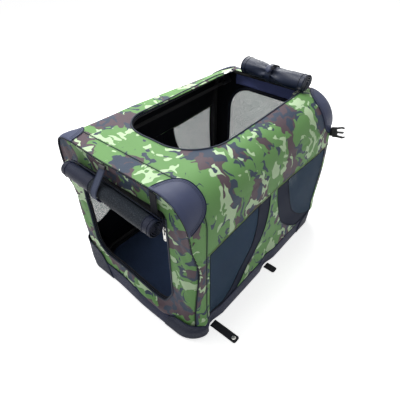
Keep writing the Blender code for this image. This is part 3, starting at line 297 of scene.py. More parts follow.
class Wiring:
    """Places nodes in a tree and joins them."""

    def __init__(self, tree):
        self.tree = tree
        self.count = 0

    def node(self, kind, settings=None, inputs=None):
        """A shader node with its settings; each input takes a value or another node's output."""
        node = self.tree.nodes.new("ShaderNode" + kind)
        node.location = (self.count % 12 * 180, -(self.count // 12) * 260)
        self.count += 1
        for key, value in (settings or {}).items():
            setattr(node, key, value)
        for key, value in (inputs or {}).items():
            self.feed(node.inputs[key], value)
        return node

    def feed(self, socket, value):
        """Give a socket a value, or join it to an output."""
        if isinstance(value, bpy.types.NodeSocket):
            self.tree.links.new(value, socket)
        else:
            socket.default_value = value

    def sum(self, operation, first, second=0.0, third=0.0):
        """One sum of up to three values."""
        return self.node("Math", {"operation": operation}, {0: first, 1: second, 2: third}).outputs[0]

    def vector(self, operation, first, second=(0, 0, 0)):
        """One sum of two vectors."""
        return self.node("VectorMath", {"operation": operation}, {0: first, 1: second}).outputs[0]

    def scaled(self, vector, factor):
        """A vector times a number."""
        node = self.node("VectorMath", {"operation": "SCALE"}, {0: vector})
        self.feed(node.inputs["Scale"], factor)
        return node.outputs[0]

    def mix(self, share, first, second):
        """A colour between two others."""
        node = self.node("Mix", {"data_type": "RGBA"})
        self.feed(node.inputs[0], share)
        self.feed(node.inputs[6], first)
        self.feed(node.inputs[7], second)
        return node.outputs[2]

    def step(self, value, edge, soft):
        """0 below an edge and 1 above it, over a short ramp."""
        upper = self.sum("ADD", edge, soft)
        node = self.node("MapRange", {"interpolation_type": "SMOOTHSTEP"}, {0: value, 1: edge, 2: upper})
        return node.outputs[0]

    def grain(self, vector, scale, detail=2.0, rough=0.5, output="Fac"):
        """Noise from 0 to 1, or a colour of noise."""
        inputs = {"Vector": vector, "Scale": scale, "Detail": detail, "Roughness": rough}
        return self.node("TexNoise", None, inputs).outputs[output]

    def warped(self, vector, scale, reach, detail=1.0):
        """A place moved about by noise, by up to half a reach each way."""
        cloud = self.grain(vector, scale, detail, 0.5, "Color")
        return self.vector("ADD", vector, self.scaled(self.vector("SUBTRACT", cloud, (0.5, 0.5, 0.5)), reach))


def shader_group(name, inputs, outputs):
    """An empty node group with named sockets, its wiring, its input node and its output node."""
    group = bpy.data.node_groups.new(name, "ShaderNodeTree")
    for label, kind, value in inputs:
        socket = group.interface.new_socket(label, in_out="INPUT", socket_type="NodeSocket" + kind)
        if value is not None:
            socket.default_value = value
    for label, kind in outputs:
        group.interface.new_socket(label, in_out="OUTPUT", socket_type="NodeSocket" + kind)
    source = group.nodes.new("NodeGroupInput")
    source.location = (-300, 0)
    result = group.nodes.new("NodeGroupOutput")
    result.location = (2400, 0)
    return group, Wiring(group), source, result


def build_woven_threads():
    """Plain weave: threads over and under each other, with uneven yarn."""
    inputs = [("Place", "Vector", None), ("Thread Width", "Float", 0.0008), ("Unevenness", "Float", 0.3)]
    outputs = [("Height", "Float"), ("Shade", "Float")]
    group, wiring, source, result = shader_group("woven threads", inputs, outputs)
    place = source.outputs["Place"]
    turns = wiring.sum("DIVIDE", math.pi, source.outputs["Thread Width"])
    axes = wiring.node("SeparateXYZ", None, {0: wiring.scaled(place, turns)}).outputs
    across = wiring.sum("SINE", axes[0])
    along = wiring.sum("SINE", axes[1])
    crossing = wiring.sum("MULTIPLY", across, along)
    slub = wiring.grain(place, 900.0, 2.0)
    uneven = wiring.sum("MULTIPLY", wiring.sum("SUBTRACT", slub, 0.5), source.outputs["Unevenness"])
    height = wiring.sum("MULTIPLY_ADD", crossing, 0.5, wiring.sum("ADD", uneven, 0.5))
    wiring.feed(result.inputs["Height"], height)
    # Shade: painted shade where the threads dip, with the yarn's uneven tone
    wiring.feed(result.inputs["Shade"], wiring.sum("MULTIPLY_ADD", height, 0.2, 0.9))
    return group


def build_netting():
    """Open mesh: crossing threads with square holes between them."""
    inputs = [("Place", "Vector", None), ("Pitch", "Float", 0.0015), ("Openness", "Float", 0.4)]
    group, wiring, source, result = shader_group("netting", inputs, [("Cover", "Float"), ("Height", "Float")])
    turns = wiring.sum("DIVIDE", math.pi, source.outputs["Pitch"])
    axes = wiring.node("SeparateXYZ", None, {0: wiring.scaled(source.outputs["Place"], turns)}).outputs
    across = wiring.sum("ABSOLUTE", wiring.sum("SINE", axes[0]))
    along = wiring.sum("ABSOLUTE", wiring.sum("SINE", axes[1]))
    room = wiring.sum("MULTIPLY", across, along)
    edge = wiring.sum("SUBTRACT", 1.0, source.outputs["Openness"])
    hole = wiring.step(room, edge, 0.16)
    wiring.feed(result.inputs["Cover"], wiring.sum("SUBTRACT", 1.0, hole))
    wiring.feed(result.inputs["Height"], wiring.sum("SUBTRACT", 1.0, room))
    return group


def build_ribbing():
    """Webbing: fine ribs across the band, in slanting pairs."""
    inputs = [("Place", "Vector", None), ("Rib", "Float", 0.0016)]
    outputs = [("Height", "Float"), ("Shade", "Float")]
    group, wiring, source, result = shader_group("webbing ribs", inputs, outputs)
    turns = wiring.sum("DIVIDE", 2 * math.pi, source.outputs["Rib"])
    axes = wiring.node("SeparateXYZ", None, {0: wiring.scaled(source.outputs["Place"], turns)}).outputs
    zigzag = wiring.node("Math", {"operation": "PINGPONG"}, {0: axes[0], 1: math.pi}).outputs[0]
    rib = wiring.sum("SINE", wiring.sum("ADD", axes[1], zigzag))
    height = wiring.sum("MULTIPLY_ADD", rib, 0.5, 0.5)
    wiring.feed(result.inputs["Height"], height)
    # Shade: painted shade in the grooves between the ribs
    wiring.feed(result.inputs["Shade"], wiring.sum("MULTIPLY_ADD", height, 0.45, 0.75))
    return group


def build_handling():
    """Uneven tone and gloss of cloth that has been folded and handled."""
    inputs = [("Place", "Vector", None), ("Tone", "Float", 0.12), ("Gloss", "Float", 0.08)]
    outputs = [("Shade", "Float"), ("Roughness", "Float")]
    group, wiring, source, result = shader_group("handling", inputs, outputs)
    broad = wiring.sum("SUBTRACT", wiring.grain(source.outputs["Place"], 14.0, 3.0, 0.6), 0.5)
    fine = wiring.sum("SUBTRACT", wiring.grain(source.outputs["Place"], 160.0, 2.0, 0.6), 0.5)
    both = wiring.sum("MULTIPLY_ADD", fine, 0.6, broad)
    wiring.feed(result.inputs["Shade"], wiring.sum("MULTIPLY_ADD", both, source.outputs["Tone"], 1.0))
    wiring.feed(result.inputs["Roughness"], wiring.sum("MULTIPLY", both, source.outputs["Gloss"]))
    return group


def blobs(wiring, place, offset, size, stretch, edge, soft=0.006):
    """Mask of blobs about a size, drawn out along the cloth."""
    moved = wiring.vector("ADD", place, offset)
    drawn = wiring.vector("MULTIPLY", moved, (1 / size / stretch, 1 / size, 1 / size))
    return wiring.step(wiring.grain(drawn, 1.0, 1.0, 0.4), edge, soft)


def winding_strips(wiring, place, offset, size, half_width, soft=0.006):
    """Mask of strips that wind where a noise crosses its middle."""
    moved = wiring.vector("ADD", place, offset)
    cloud = wiring.grain(wiring.scaled(moved, 1 / size), 1.0, 0.5, 0.4)
    off = wiring.sum("ABSOLUTE", wiring.sum("SUBTRACT", cloud, 0.5))
    return wiring.sum("SUBTRACT", 1.0, wiring.step(off, half_width, soft))


def antlers(wiring, place, offset, size, half_width, room, edge):
    """Mask of winding strips in loose clumps, each about the size of a room."""
    strips = winding_strips(wiring, place, offset, size, half_width)
    return wiring.sum("MULTIPLY", strips, blobs(wiring, place, (offset[1], offset[0], 1.7), room, 1.2, edge))


def build_camouflage():
    """Four-colour camouflage: green ground, smooth brown patches, pale antlers and thin navy twigs."""
    colours = [("Ground", "Color", (0.2, 0.4, 0.1, 1)), ("Brown", "Color", (0.1, 0.1, 0.1, 1)),
               ("Pale", "Color", (0.6, 0.8, 0.5, 1)), ("Navy", "Color", (0.05, 0.08, 0.15, 1))]
    inputs = [("Place", "Vector", None)] + colours
    group, wiring, source, result = shader_group("camouflage print", inputs, [("Color", "Color")])
    wobbly = wiring.warped(source.outputs["Place"], 20.0, 0.050, 1.0)
    fingered = wiring.warped(wobbly, 60.0, 0.022, 0.5)
    brown = blobs(wiring, fingered, (7.3, 2.9, 0), 0.080, 1.8, 0.545)
    pale_clumps = antlers(wiring, fingered, (1.9, 5.2, 0), 0.040, 0.075, 0.040, 0.555)
    pale_patches = blobs(wiring, fingered, (2.6, 9.4, 0), 0.052, 2.0, 0.655)
    pale = wiring.sum("MAXIMUM", pale_clumps, pale_patches)
    near_brown = blobs(wiring, fingered, (7.3, 2.9, 0), 0.080, 1.8, 0.50)
    twigs = antlers(wiring, fingered, (4.4, 8.1, 0), 0.042, 0.085, 0.045, 0.50)
    lone_twigs = antlers(wiring, fingered, (9.7, 3.3, 0), 0.036, 0.070, 0.032, 0.575)
    navy = wiring.sum("MAXIMUM", wiring.sum("MULTIPLY", near_brown, twigs), lone_twigs)
    colour = wiring.mix(brown, source.outputs["Ground"], source.outputs["Brown"])
    colour = wiring.mix(navy, colour, source.outputs["Navy"])
    colour = wiring.mix(pale, colour, source.outputs["Pale"])
    wiring.feed(result.inputs["Color"], colour)
    return group


def build_edge_wear():
    """Where bare edges and bumps rub bright, from how sharply the surface turns."""
    inputs = [("Amount", "Float", 0.5)]
    group, wiring, source, result = shader_group("edge wear", inputs, [("Mask", "Float")])
    turn = wiring.node("NewGeometry").outputs["Pointiness"]
    rubbed = wiring.step(turn, 0.53, 0.08)
    worn = wiring.sum("MULTIPLY", rubbed, source.outputs["Amount"])
    wiring.feed(result.inputs["Mask"], worn)
    return group


THREADS = build_woven_threads()
NETTING = build_netting()
RIBBING = build_ribbing()
HANDLING = build_handling()
CAMOUFLAGE = build_camouflage()
EDGE_WEAR = build_edge_wear()


# Finishes


class Finish:
    """A material of one of the crate's finishes, with its wiring and its shader."""

    def __init__(self, name, roughness, metallic=0.0, gloss=0.5):
        self.material = bpy.data.materials.new(name)
        self.material.use_nodes = True
        tree = self.material.node_tree
        self.wiring = Wiring(tree)
        self.shader = tree.nodes["Principled BSDF"]
        self.shader.inputs["Roughness"].default_value = roughness
        self.shader.inputs["Metallic"].default_value = metallic
        self.shader.inputs["Specular IOR Level"].default_value = gloss

    def flat_place(self):
        """The place on the cloth as it was cut, in metres."""
        return self.wiring.node("UVMap", {"uv_map": "cloth"}).outputs["UV"]

    def solid_place(self):
        """The place on the piece itself, in metres."""
        return self.wiring.node("TexCoord").outputs["Object"]

    def group(self, group, inputs):
        """One of the shared groups, with this finish's own values."""
        node = self.wiring.node("Group", {"node_tree": group})
        for label, value in inputs.items():
            self.wiring.feed(node.inputs[label], value)
        return node.outputs

    def toned(self, colour, *shades):
        """A colour times the shades of its groups."""
        for shade in shades:
            node = self.wiring.node("Mix", {"data_type": "RGBA", "blend_type": "MULTIPLY"})
            grey = self.wiring.node("CombineColor", None, {0: shade, 1: shade, 2: shade}).outputs[0]
            node.inputs[0].default_value = 1.0
            self.wiring.feed(node.inputs[6], colour)
            self.wiring.feed(node.inputs[7], grey)
            colour = node.outputs[2]
        return colour

    def bump(self, height, distance, strength=1.0):
        """Relief from a height map."""
        inputs = {"Height": height, "Distance": distance, "Strength": strength}
        normal = self.wiring.node("Bump", None, inputs).outputs["Normal"]
        self.wiring.feed(self.shader.inputs["Normal"], normal)

    def uneven_gloss(self, change):
        """Roughness that varies about its plain value."""
        plain = self.shader.inputs["Roughness"].default_value
        self.wiring.feed(self.shader.inputs["Roughness"], self.wiring.sum("ADD", change, plain))

    def done(self, colour, height, distance, change=None):
        """The material, with its colour, its relief and any change of roughness joined up."""
        self.wiring.feed(self.shader.inputs["Base Color"], colour)
        self.bump(height, distance)
        if change is not None:
            self.uneven_gloss(change)
        return self.material


def woven_finish(name, colour, roughness, thread, relief, sheen=0.0, tone=0.25, gloss=0.15):
    """A plain-coloured woven cloth."""
    finish = Finish(name, roughness, gloss=gloss)
    place = finish.flat_place()
    weave = finish.group(THREADS, {"Place": place, "Thread Width": thread})
    handled = finish.group(HANDLING, {"Place": place, "Tone": tone})
    base = finish.toned((*colour, 1), weave["Shade"], handled["Shade"])
    finish.shader.inputs["Sheen Weight"].default_value = sheen
    finish.shader.inputs["Sheen Roughness"].default_value = 0.5
    return finish.done(base, weave["Height"], relief, handled["Roughness"])


def camouflage_finish():
    """The printed oxford cloth of the cover."""
    finish = Finish("camouflage cloth", 0.62, gloss=0.45)
    place = finish.flat_place()
    colours = {
        "Ground": (0.155, 0.350, 0.105, 1), "Brown": (0.092, 0.058, 0.074, 1),
        "Pale": (0.600, 0.800, 0.500, 1), "Navy": (0.028, 0.048, 0.086, 1),
    }
    printed = finish.group(CAMOUFLAGE, {"Place": place, **colours})
    weave = finish.group(THREADS, {"Place": place, "Thread Width": 0.0008})
    handled = finish.group(HANDLING, {"Place": place, "Tone": 0.14})
    base = finish.toned(printed["Color"], weave["Shade"], handled["Shade"])
    return finish.done(base, weave["Height"], 0.00025, handled["Roughness"])


def netting_finish(name, colour, pitch, openness):
    """Open mesh cloth that shows what lies behind it."""
    finish = Finish(name, 0.65, gloss=0.1)
    place = finish.flat_place()
    net = finish.group(NETTING, {"Place": place, "Pitch": pitch, "Openness": openness})
    handled = finish.group(HANDLING, {"Place": place, "Tone": 0.3})
    slant = finish.wiring.node("SeparateXYZ", None, {0: place}).outputs
    turns = finish.wiring.sum("MULTIPLY_ADD", slant[0], 0.35, slant[1])
    streak = finish.wiring.sum("SINE", finish.wiring.sum("MULTIPLY", turns, 2 * math.pi / STREAK_PITCH))
    streak = finish.wiring.sum("MULTIPLY_ADD", streak, 0.16, 1.0)
    base = finish.toned((*colour, 1), handled["Shade"], streak)
    finish.wiring.feed(finish.shader.inputs["Alpha"], net["Cover"])
    return finish.done(base, net["Height"], 0.0003, handled["Roughness"])


def speckled_netting_finish():
    """Mesh rolled up on itself: dark, with painted highlights as pale specks where threads catch the light, and
    painted shade in its holes.
    """
    finish = Finish("rolled mesh", 0.6, gloss=0.2)
    place = finish.flat_place()
    net = finish.group(NETTING, {"Place": place, "Pitch": 0.0017, "Openness": 0.35})
    handled = finish.group(HANDLING, {"Place": place, "Tone": 0.9})
    painted_glints = finish.wiring.step(finish.wiring.grain(place, 420.0, 2.0, 0.7), 0.52, 0.12)
    thread = finish.wiring.mix(painted_glints, (0.014, 0.019, 0.028, 1), (0.060, 0.075, 0.092, 1))
    # Holes darker than the threads: painted shade between the rolled layers
    shade = finish.wiring.sum("MULTIPLY_ADD", net["Cover"], 0.65, 0.35)
    base = finish.toned(thread, shade, handled["Shade"])
    return finish.done(base, net["Height"], 0.0005, handled["Roughness"])


def webbing_finish(name, colour, rib=0.0022):
    """Woven strap."""
    finish = Finish(name, 0.6, gloss=0.25)
    place = finish.flat_place()
    ribs = finish.group(RIBBING, {"Place": place, "Rib": rib})
    handled = finish.group(HANDLING, {"Place": place, "Tone": 0.3})
    base = finish.toned((*colour, 1), ribs["Shade"], handled["Shade"])
    return finish.done(base, ribs["Height"], 0.0004, handled["Roughness"])


def solid_finish(name, colour, roughness, metallic, worn, wear, grain, relief):
    """Metal, paint or moulded plastic, rubbed at its edges."""
    finish = Finish(name, roughness, metallic)
    place = finish.solid_place()
    edge = finish.group(EDGE_WEAR, {"Amount": wear})
    handled = finish.group(HANDLING, {"Place": place, "Tone": 0.2, "Gloss": 0.15})
    base = finish.wiring.mix(edge["Mask"], (*colour, 1), (*worn, 1))
    base = finish.toned(base, handled["Shade"])
    return finish.done(base, finish.wiring.grain(place, grain, 3.0, 0.6), relief, handled["Roughness"])


def mat_finish():
    """Brushed pile of the floor mat, its navy made paler as painted light from the roof's opening."""
    finish = Finish("mat pile", 0.95, gloss=0.1)
    place = finish.flat_place()
    pile = finish.wiring.grain(place, 700.0, 3.0, 0.7)
    handled = finish.group(HANDLING, {"Place": place, "Tone": 0.35})
    shade = finish.wiring.sum("MULTIPLY_ADD", pile, 0.5, 0.75)
    # Navy raised about threefold: painted light on the mat
    base = finish.toned((0.055, 0.085, 0.170, 1), shade, handled["Shade"])
    return finish.done(base, pile, 0.0008)


def board_finish():
    """The stiff board in its thin black cover."""
    finish = Finish("covered board", 0.8, gloss=0.2)
    place = finish.solid_place()
    fibres = finish.wiring.grain(place, 240.0, 5.0, 0.7)
    base = finish.wiring.mix(fibres, (0.006, 0.007, 0.010, 1), (0.012, 0.014, 0.020, 1))
    return finish.done(base, fibres, 0.0003)


def floor_finish():
    """The studio's white floor, which keeps the crate's shadow."""
    finish = Finish("studio floor", 0.9, gloss=0.0)
    grain = finish.wiring.grain(finish.solid_place(), 6.0, 2.0)
    white = finish.wiring.mix(grain, (0.93, 0.93, 0.93, 1), (0.95, 0.95, 0.95, 1))
    finish.wiring.feed(finish.shader.inputs["Base Color"], white)
    path = finish.wiring.node("LightPath").outputs
    seen = finish.wiring.sum("MAXIMUM", path["Is Camera Ray"], path["Is Glossy Ray"])
    seen = finish.wiring.sum("MAXIMUM", seen, path["Is Transmission Ray"])
    finish.shader.inputs["Emission Color"].default_value = (1, 1, 1, 1)
    glow = finish.wiring.sum("MULTIPLY", seen, FLOOR_GLOW)
    finish.wiring.feed(finish.shader.inputs["Emission Strength"], glow)
    return finish.material


CAMO_CLOTH = camouflage_finish()
LINING = woven_finish("black lining", (0.0040, 0.0045, 0.0075), 0.7, 0.0007, 0.0001, gloss=0.1)
# Navy lining made bright: painted light inside the rear panel's top
NAVY_LINING_PAINTED_LIT = woven_finish("navy lining painted lit", (0.120, 0.145, 0.350), 0.6, 0.0007, 0.0001)
TRAY_CLOTH = woven_finish("coated navy cloth", (0.015, 0.020, 0.056), 0.5, 0.0009, 0.0003)
PATCH_FINISH = woven_finish("slate patch cloth", (0.036, 0.048, 0.112), 0.45, 0.0008, 0.0002, gloss=0.42)
BAND_CLOTH = woven_finish("navy band cloth", (0.012, 0.017, 0.038), 0.65, 0.0008, 0.0003, gloss=0.1)
ROOF_DOOR_CLOTH = woven_finish("satin navy cloth", (0.007, 0.014, 0.040), 0.34, 0.0006, 0.0001, gloss=0.35)
# Paler slate copy of the tie's satin navy for its knot: a painted highlight
TIE_KNOT_PAINTED_HIGHLIGHT = woven_finish("tie knot painted highlight", (0.030, 0.040, 0.090), 0.40, 0.0006, 0.0001, gloss=0.4)
HEM_CLOTH = woven_finish("navy hem cloth", (0.007, 0.011, 0.032), 0.45, 0.0008, 0.0003, gloss=0.3)
BINDING_TAPE = woven_finish("black binding", (0.008, 0.011, 0.020), 0.6, 0.0008, 0.0003)
EDGE_BINDING = woven_finish("slate edge binding", (0.022, 0.032, 0.055), 0.5, 0.0008, 0.0003, gloss=0.3)
PATCH_BINDING_TAPE = woven_finish("dark patch binding", (0.016, 0.022, 0.046), 0.6, 0.0008, 0.0003)
SEAM_CORD = woven_finish("pale seam cord", (0.330, 0.420, 0.220), 0.8, 0.0008, 0.0003)
SLATE_CORD = woven_finish("slate seam cord", (0.045, 0.060, 0.075), 0.8, 0.0008, 0.0003)
PALE_THREAD = woven_finish("pale thread", (0.300, 0.360, 0.280), 0.7, 0.0005, 0.0001)
DARK_THREAD = woven_finish("dark thread", (0.018, 0.022, 0.040), 0.6, 0.0005, 0.0001)
GREY_THREAD = woven_finish("grey thread", (0.110, 0.130, 0.180), 0.6, 0.0005, 0.0001)
WINDOW_MESH = netting_finish("window mesh", (0.042, 0.076, 0.135), 0.0015, 0.47)
# Paler, greener copy of the window mesh for its inside face: painted light coming through from behind
WINDOW_MESH_PAINTED_LIT = netting_finish("window mesh inside painted lit", (0.110, 0.300, 0.240), 0.0015, 0.43)
# The rear window's mesh in the same paler, greener colour: painted light coming through from behind
REAR_MESH_PAINTED_LIT = netting_finish("rear window mesh painted lit", (0.090, 0.220, 0.175), 0.0015, 0.42)
ROLLED_MESH = speckled_netting_finish()
SLATE_WEBBING = webbing_finish("slate webbing", (0.078, 0.095, 0.155))
BLACK_WEBBING = webbing_finish("black webbing", (0.012, 0.013, 0.018))
SILVER = solid_finish(
    "bright zip metal", (0.33, 0.33, 0.31), 0.30, 1.0, (0.80, 0.80, 0.76), 0.8, 900.0, 0.00002,
)
FRAME_PAINT = solid_finish(
    "frame paint", (0.003, 0.003, 0.004), 0.85, 0.0, (0.02, 0.02, 0.022), 0.15, 1200.0, 0.00004,
)
PLASTIC = solid_finish(
    "moulded plastic", (0.012, 0.012, 0.014), 0.42, 0.0, (0.06, 0.06, 0.065), 0.5, 1600.0, 0.00003,
)
TRAY_PATCH = woven_finish("navy foot patch", (0.011, 0.015, 0.036), 0.5, 0.0008, 0.0003)
MAT_PILE = mat_finish()
BOARD = board_finish()


# Cloth cut flat


def arc(centre, radius, start, end, steps):
    """Points on a circle, from one angle in degrees to another."""
    points = []
    for step in range(steps + 1):
        angle = math.radians(start + (end - start) * step / steps)
        points.append((centre[0] + radius * math.cos(angle), centre[1] + radius * math.sin(angle)))
    return points


def rounded_box(low, high, radii, steps=14):
    """Outline of a rectangle whose corners have their own radii, from the lower left one on."""
    corners = [(low[0], low[1]), (high[0], low[1]), (high[0], high[1]), (low[0], high[1])]
    inwards = [(1, 1), (-1, 1), (-1, -1), (1, -1)]
    points = []
    for number, (corner, inward, radius) in enumerate(zip(corners, inwards, radii)):
        centre = (corner[0] + inward[0] * radius, corner[1] + inward[1] * radius)
        points += arc(centre, radius, 180 + 90 * number, 270 + 90 * number, steps)
    return points


def spaced(loop, spacing, closed=True):
    """An outline with points added so that no edge is longer than a spacing."""
    points = []
    last = len(loop) if closed else len(loop) - 1
    for number in range(last):
        start, end = Vector(loop[number]), Vector(loop[(number + 1) % len(loop)])
        pieces = max(1, math.ceil((end - start).length / spacing))
        if (end - start).length > 0.00002:
            points += [start.lerp(end, piece / pieces) for piece in range(pieces)]
    if not closed:
        points.append(Vector(loop[-1]))
    return points


def inside(points, loop):
    """Which of many points lie inside an outline."""
    x, y = points[:, 0], points[:, 1]
    within = numpy.zeros(len(points), bool)
    for start, end in zip(loop, loop[1:] + loop[:1]):
        crosses = (start[1] > y) != (end[1] > y)
        rise = (end[1] - start[1]) or 1e-12
        within ^= crosses & (x < (end[0] - start[0]) * (y - start[1]) / rise + start[0])
    return within


def staggered_points(low, high, cell):
    """Evenly spread points over a rectangle, every second row moved by half a cell."""
    rows = int((high[1] - low[1]) / (cell * 0.866)) + 1
    columns = int((high[0] - low[0]) / cell) + 2
    return [
        (low[0] + (column + row % 2 / 2) * cell, low[1] + row * cell * 0.866)
        for row in range(rows) for column in range(columns)
    ]


def triangulated(loops, cell):
    """Points and triangles that fill the first outline around the others."""
    loops = [spaced(loop, cell) for loop in loops]
    border = [point for loop in loops for point in loop]
    edges = []
    first = 0
    for loop in loops:
        edges += [(first + number, first + (number + 1) % len(loop)) for number in range(len(loop))]
        first += len(loop)
    tree = KDTree(len(border))
    for number, point in enumerate(border):
        tree.insert((*point, 0), number)
    tree.balance()
    low = [min(point[axis] for point in border) for axis in range(2)]
    high = [max(point[axis] for point in border) for axis in range(2)]
    inner = [point for point in staggered_points(low, high, cell) if tree.find((*point, 0))[2] > cell * 0.55]
    points, _, faces, *_ = delaunay_2d_cdt(border + [Vector(point) for point in inner], edges, [], 1, 1e-7)
    middles = numpy.array([sum((points[number] for number in face), Vector((0, 0))) / 3 for face in faces])
    keep = numpy.ones(len(faces), bool)
    for loop in loops[1:]:
        keep &= ~inside(middles, [tuple(point) for point in loop])
    faces = [face for face, kept in zip(faces, keep) if kept]
    used = sorted({number for face in faces for number in face})
    new_number = {number: order for order, number in enumerate(used)}
    faces = [tuple(new_number[number] for number in face) for face in faces]
    faces = [counter_clockwise(face, points, used) for face in faces]
    return [tuple(points[number]) for number in used], faces


def counter_clockwise(face, points, used):
    """A triangle's corners in counter-clockwise order."""
    first, second, third = (points[used[number]] for number in face)
    return face if (second - first).cross(third - first) > 0 else face[::-1]


def cloth_area(points, faces):
    """Area of the cloth as it was cut."""
    total = 0.0
    for first, second, third in faces:
        start = Vector(points[first])
        total += abs((Vector(points[second]) - start).cross(Vector(points[third]) - start)) / 2
    return total


def place_piece(name, form, materials):
    """A piece of the crate from mesh code, with its materials."""
    mesh = bpy.data.meshes.new(name)
    form.to_mesh(mesh)
    form.free()
    for material in materials:
        mesh.materials.append(material)
    obj = bpy.data.objects.new(name, mesh)
    bpy.context.scene.collection.objects.link(obj)
    return obj


def sew(name, loops, lay, outer, lining=None, thickness=CLOTH, cell=CELL, choose=None):
    """A piece of cloth, cut flat by its outlines and laid in place by a function.

    The function takes the flat place and a lift off the crate. choose gives a flat place's own material.
    """
    points, faces = triangulated(loops, cell)
    form = bmesh.new()
    top = [form.verts.new(lay(x, y, 0)) for x, y in points]
    under = [form.verts.new(lay(x, y, -thickness)) for x, y in points]
    flat = form.loops.layers.uv.new("cloth")
    number_of = {vertex: number % len(points) for number, vertex in enumerate(top + under)}
    uses = {}
    materials = [outer, lining or outer]
    for face in faces:
        upper = form.faces.new([top[number] for number in face])
        lower = form.faces.new([under[number] for number in reversed(face)])
        lower.material_index = 1
        if choose:
            middle = [sum(points[number][axis] for number in face) / 3 for axis in range(2)]
            material = choose(*middle)
            if material not in materials:
                materials.append(material)
            upper.material_index = materials.index(material)
        for start, end in zip(face, face[1:] + face[:1]):
            uses[start, end] = uses.get((start, end), 0) + 1
    for start, end in [edge for edge in uses if edge[::-1] not in uses]:
        form.faces.new([top[end], top[start], under[start], under[end]])
    for face in form.faces:
        face.smooth = True
        for loop in face.loops:
            loop[flat].uv = points[number_of[loop.vert]]
    for edge in form.edges:
        if edge.calc_face_angle(0) > math.radians(50):
            edge.smooth = False
    obj = place_piece(name, form, materials)
    obj["flat_area"] = cloth_area(points, faces)
    low = [min(point[axis] for point in points) for axis in range(2)]
    high = [max(point[axis] for point in points) for axis in range(2)]
    obj["flat_size"] = [high[0] - low[0], high[1] - low[1]]
    return obj


def tube(form, line, radius, sides=8):
    """A round cord along a line of points, closed at both ends, added to a mesh."""
    flat = form.loops.layers.uv.verify()
    rings = []
    run = 0.0
    across = None
    for number, point in enumerate(line):
        before, after = line[max(number - 1, 0)], line[min(number + 1, len(line) - 1)]
        ahead = (after - before).normalized()
        if across is None:
            across = ahead.orthogonal().normalized()
        across = (across - ahead * across.dot(ahead)).normalized()
        beside = ahead.cross(across)
        run += (point - before).length if number else 0
        turns = [2 * math.pi * side / sides for side in range(sides)]
        outs = [across * math.cos(turn) + beside * math.sin(turn) for turn in turns]
        rings.append(([form.verts.new(point + out * radius) for out in outs], run))
    for (lower, low_run), (upper, high_run) in zip(rings, rings[1:]):
        for side in range(sides):
            beyond = (side + 1) % sides
            face = form.faces.new((lower[side], lower[beyond], upper[beyond], upper[side]))
            face.smooth = True
            width = 2 * math.pi * radius / sides
            places = [(side, low_run), (side + 1, low_run), (side + 1, high_run), (side, high_run)]
            for loop, (turn, along) in zip(face.loops, places):
                loop[flat].uv = (turn * width, along)
    form.faces.new(list(reversed(rings[0][0])))
    form.faces.new(rings[-1][0])


def cords(name, lines, radius, material, sides=8):
    """Round cords along lines, as one piece."""
    form = bmesh.new()
    form.loops.layers.uv.new("cloth")
    for line in lines:
        tube(form, [Vector(point) for point in line], radius, sides)
    return place_piece(name, form, [material])


def dashes(line, length=STITCH_LENGTH, gap=STITCH_GAP):
    """Short stretches of a line, one for each stitch."""
    lengths = [0.0]
    for start, end in zip(line, line[1:]):
        lengths.append(lengths[-1] + (end - start).length)
    found = []
    start = gap / 2
    while start + length < lengths[-1]:
        ends = [point_along(line, lengths, start + length * share) for share in (0, 0.5, 1)]
        found.append(ends)
        start += length + gap
    return found


def point_along(line, lengths, distance):
    """The point a distance along a line."""
    number = min(max(numpy.searchsorted(lengths, distance) - 1, 0), len(line) - 2)
    share = (distance - lengths[number]) / max(lengths[number + 1] - lengths[number], 1e-9)
    return line[number].lerp(line[number + 1], share)


def stitches(name, lines, material, radius=STITCH_RADIUS):
    """Rows of stitches along lines, as one piece."""
    return cords(name, [dash for line in lines for dash in dashes(line)], radius, material, 5)


def laid(lay, loop, lift, spacing=0.004, closed=False):
    """A line drawn on the flat cloth, laid in place with it."""
    points = spaced(loop + loop[:1] if closed else loop, spacing, False)
    return [lay(point[0], point[1], lift) for point in points]


# Where cloth lies on the crate


def smooth_step(value, start, end):
    """0 before a start and 1 after an end, with an easy turn between them."""
    share = min(max((value - start) / (end - start), 0), 1)
    return share * share * (3 - 2 * share)


def bell(value, middle, reach):
    """1 at a middle and 0 beyond a reach on either side."""
    return 1 - smooth_step(abs(value - middle), 0, reach)


def ripple(x, y, z, scale):
    """Smooth noise between -1 and 1."""
    return noise.noise(Vector((x, y, z)) * scale)


def height_of(run):
    """Height on the upright side, a distance round the cross-section."""
    return SHOULDER_FOOT - (run - FLAT - ARC)


def run_of(z):
    """Distance round the cross-section to a height on the upright side."""
    return FLAT + ARC + SHOULDER_FOOT - z


def front_corner(z):
    """Radius in plan of the cover's front corners at a height."""
    return CORNER_FOOT + (CORNER_TOP - CORNER_FOOT) * smooth_step(z, CORNER_EASES_FROM, SHOULDER_FOOT)


def seam_share(z):
    """Share of a front corner's turn that the collar takes, from the side on."""
    return float(numpy.interp(z, SEAM_HEIGHTS, SEAM_SHARES))


def foot_swell(x, y):
    """How far the tray and the cover's foot swell out, most below the doorway's right corner."""
    swell = FOOT_SWELL + 0.0005 * ripple(x, y, 0.02, 20)
    front = FRONT_SWELL * smooth_step(y, -0.235, -0.262) * (smooth_step(x, -0.10, 0.07) * 0.88 + 0.12)
    drawn_in = max(bell(y, place, STRAP_DRAWS_OVER) for place in STRAP_PLACES) if abs(x) > 0.19 else 0
    return swell + front * (1 - drawn_in) - drawn_in * (FOOT_SWELL + STRAP_DRAWS_IN)


def front_lean(x, z):
    """How far the front edge leans out under the weight of the rolled door, least on the left."""
    weight = smooth_step(x, -0.16, -0.03)
    over_roll = smooth_step(z, 0.408, 0.430)
    beside_roll = smooth_step(x, 0.152, 0.172) * smooth_step(z, 0.29, 0.37)
    return FRONT_EDGE_LEAN * weight * max(over_roll, beside_roll)


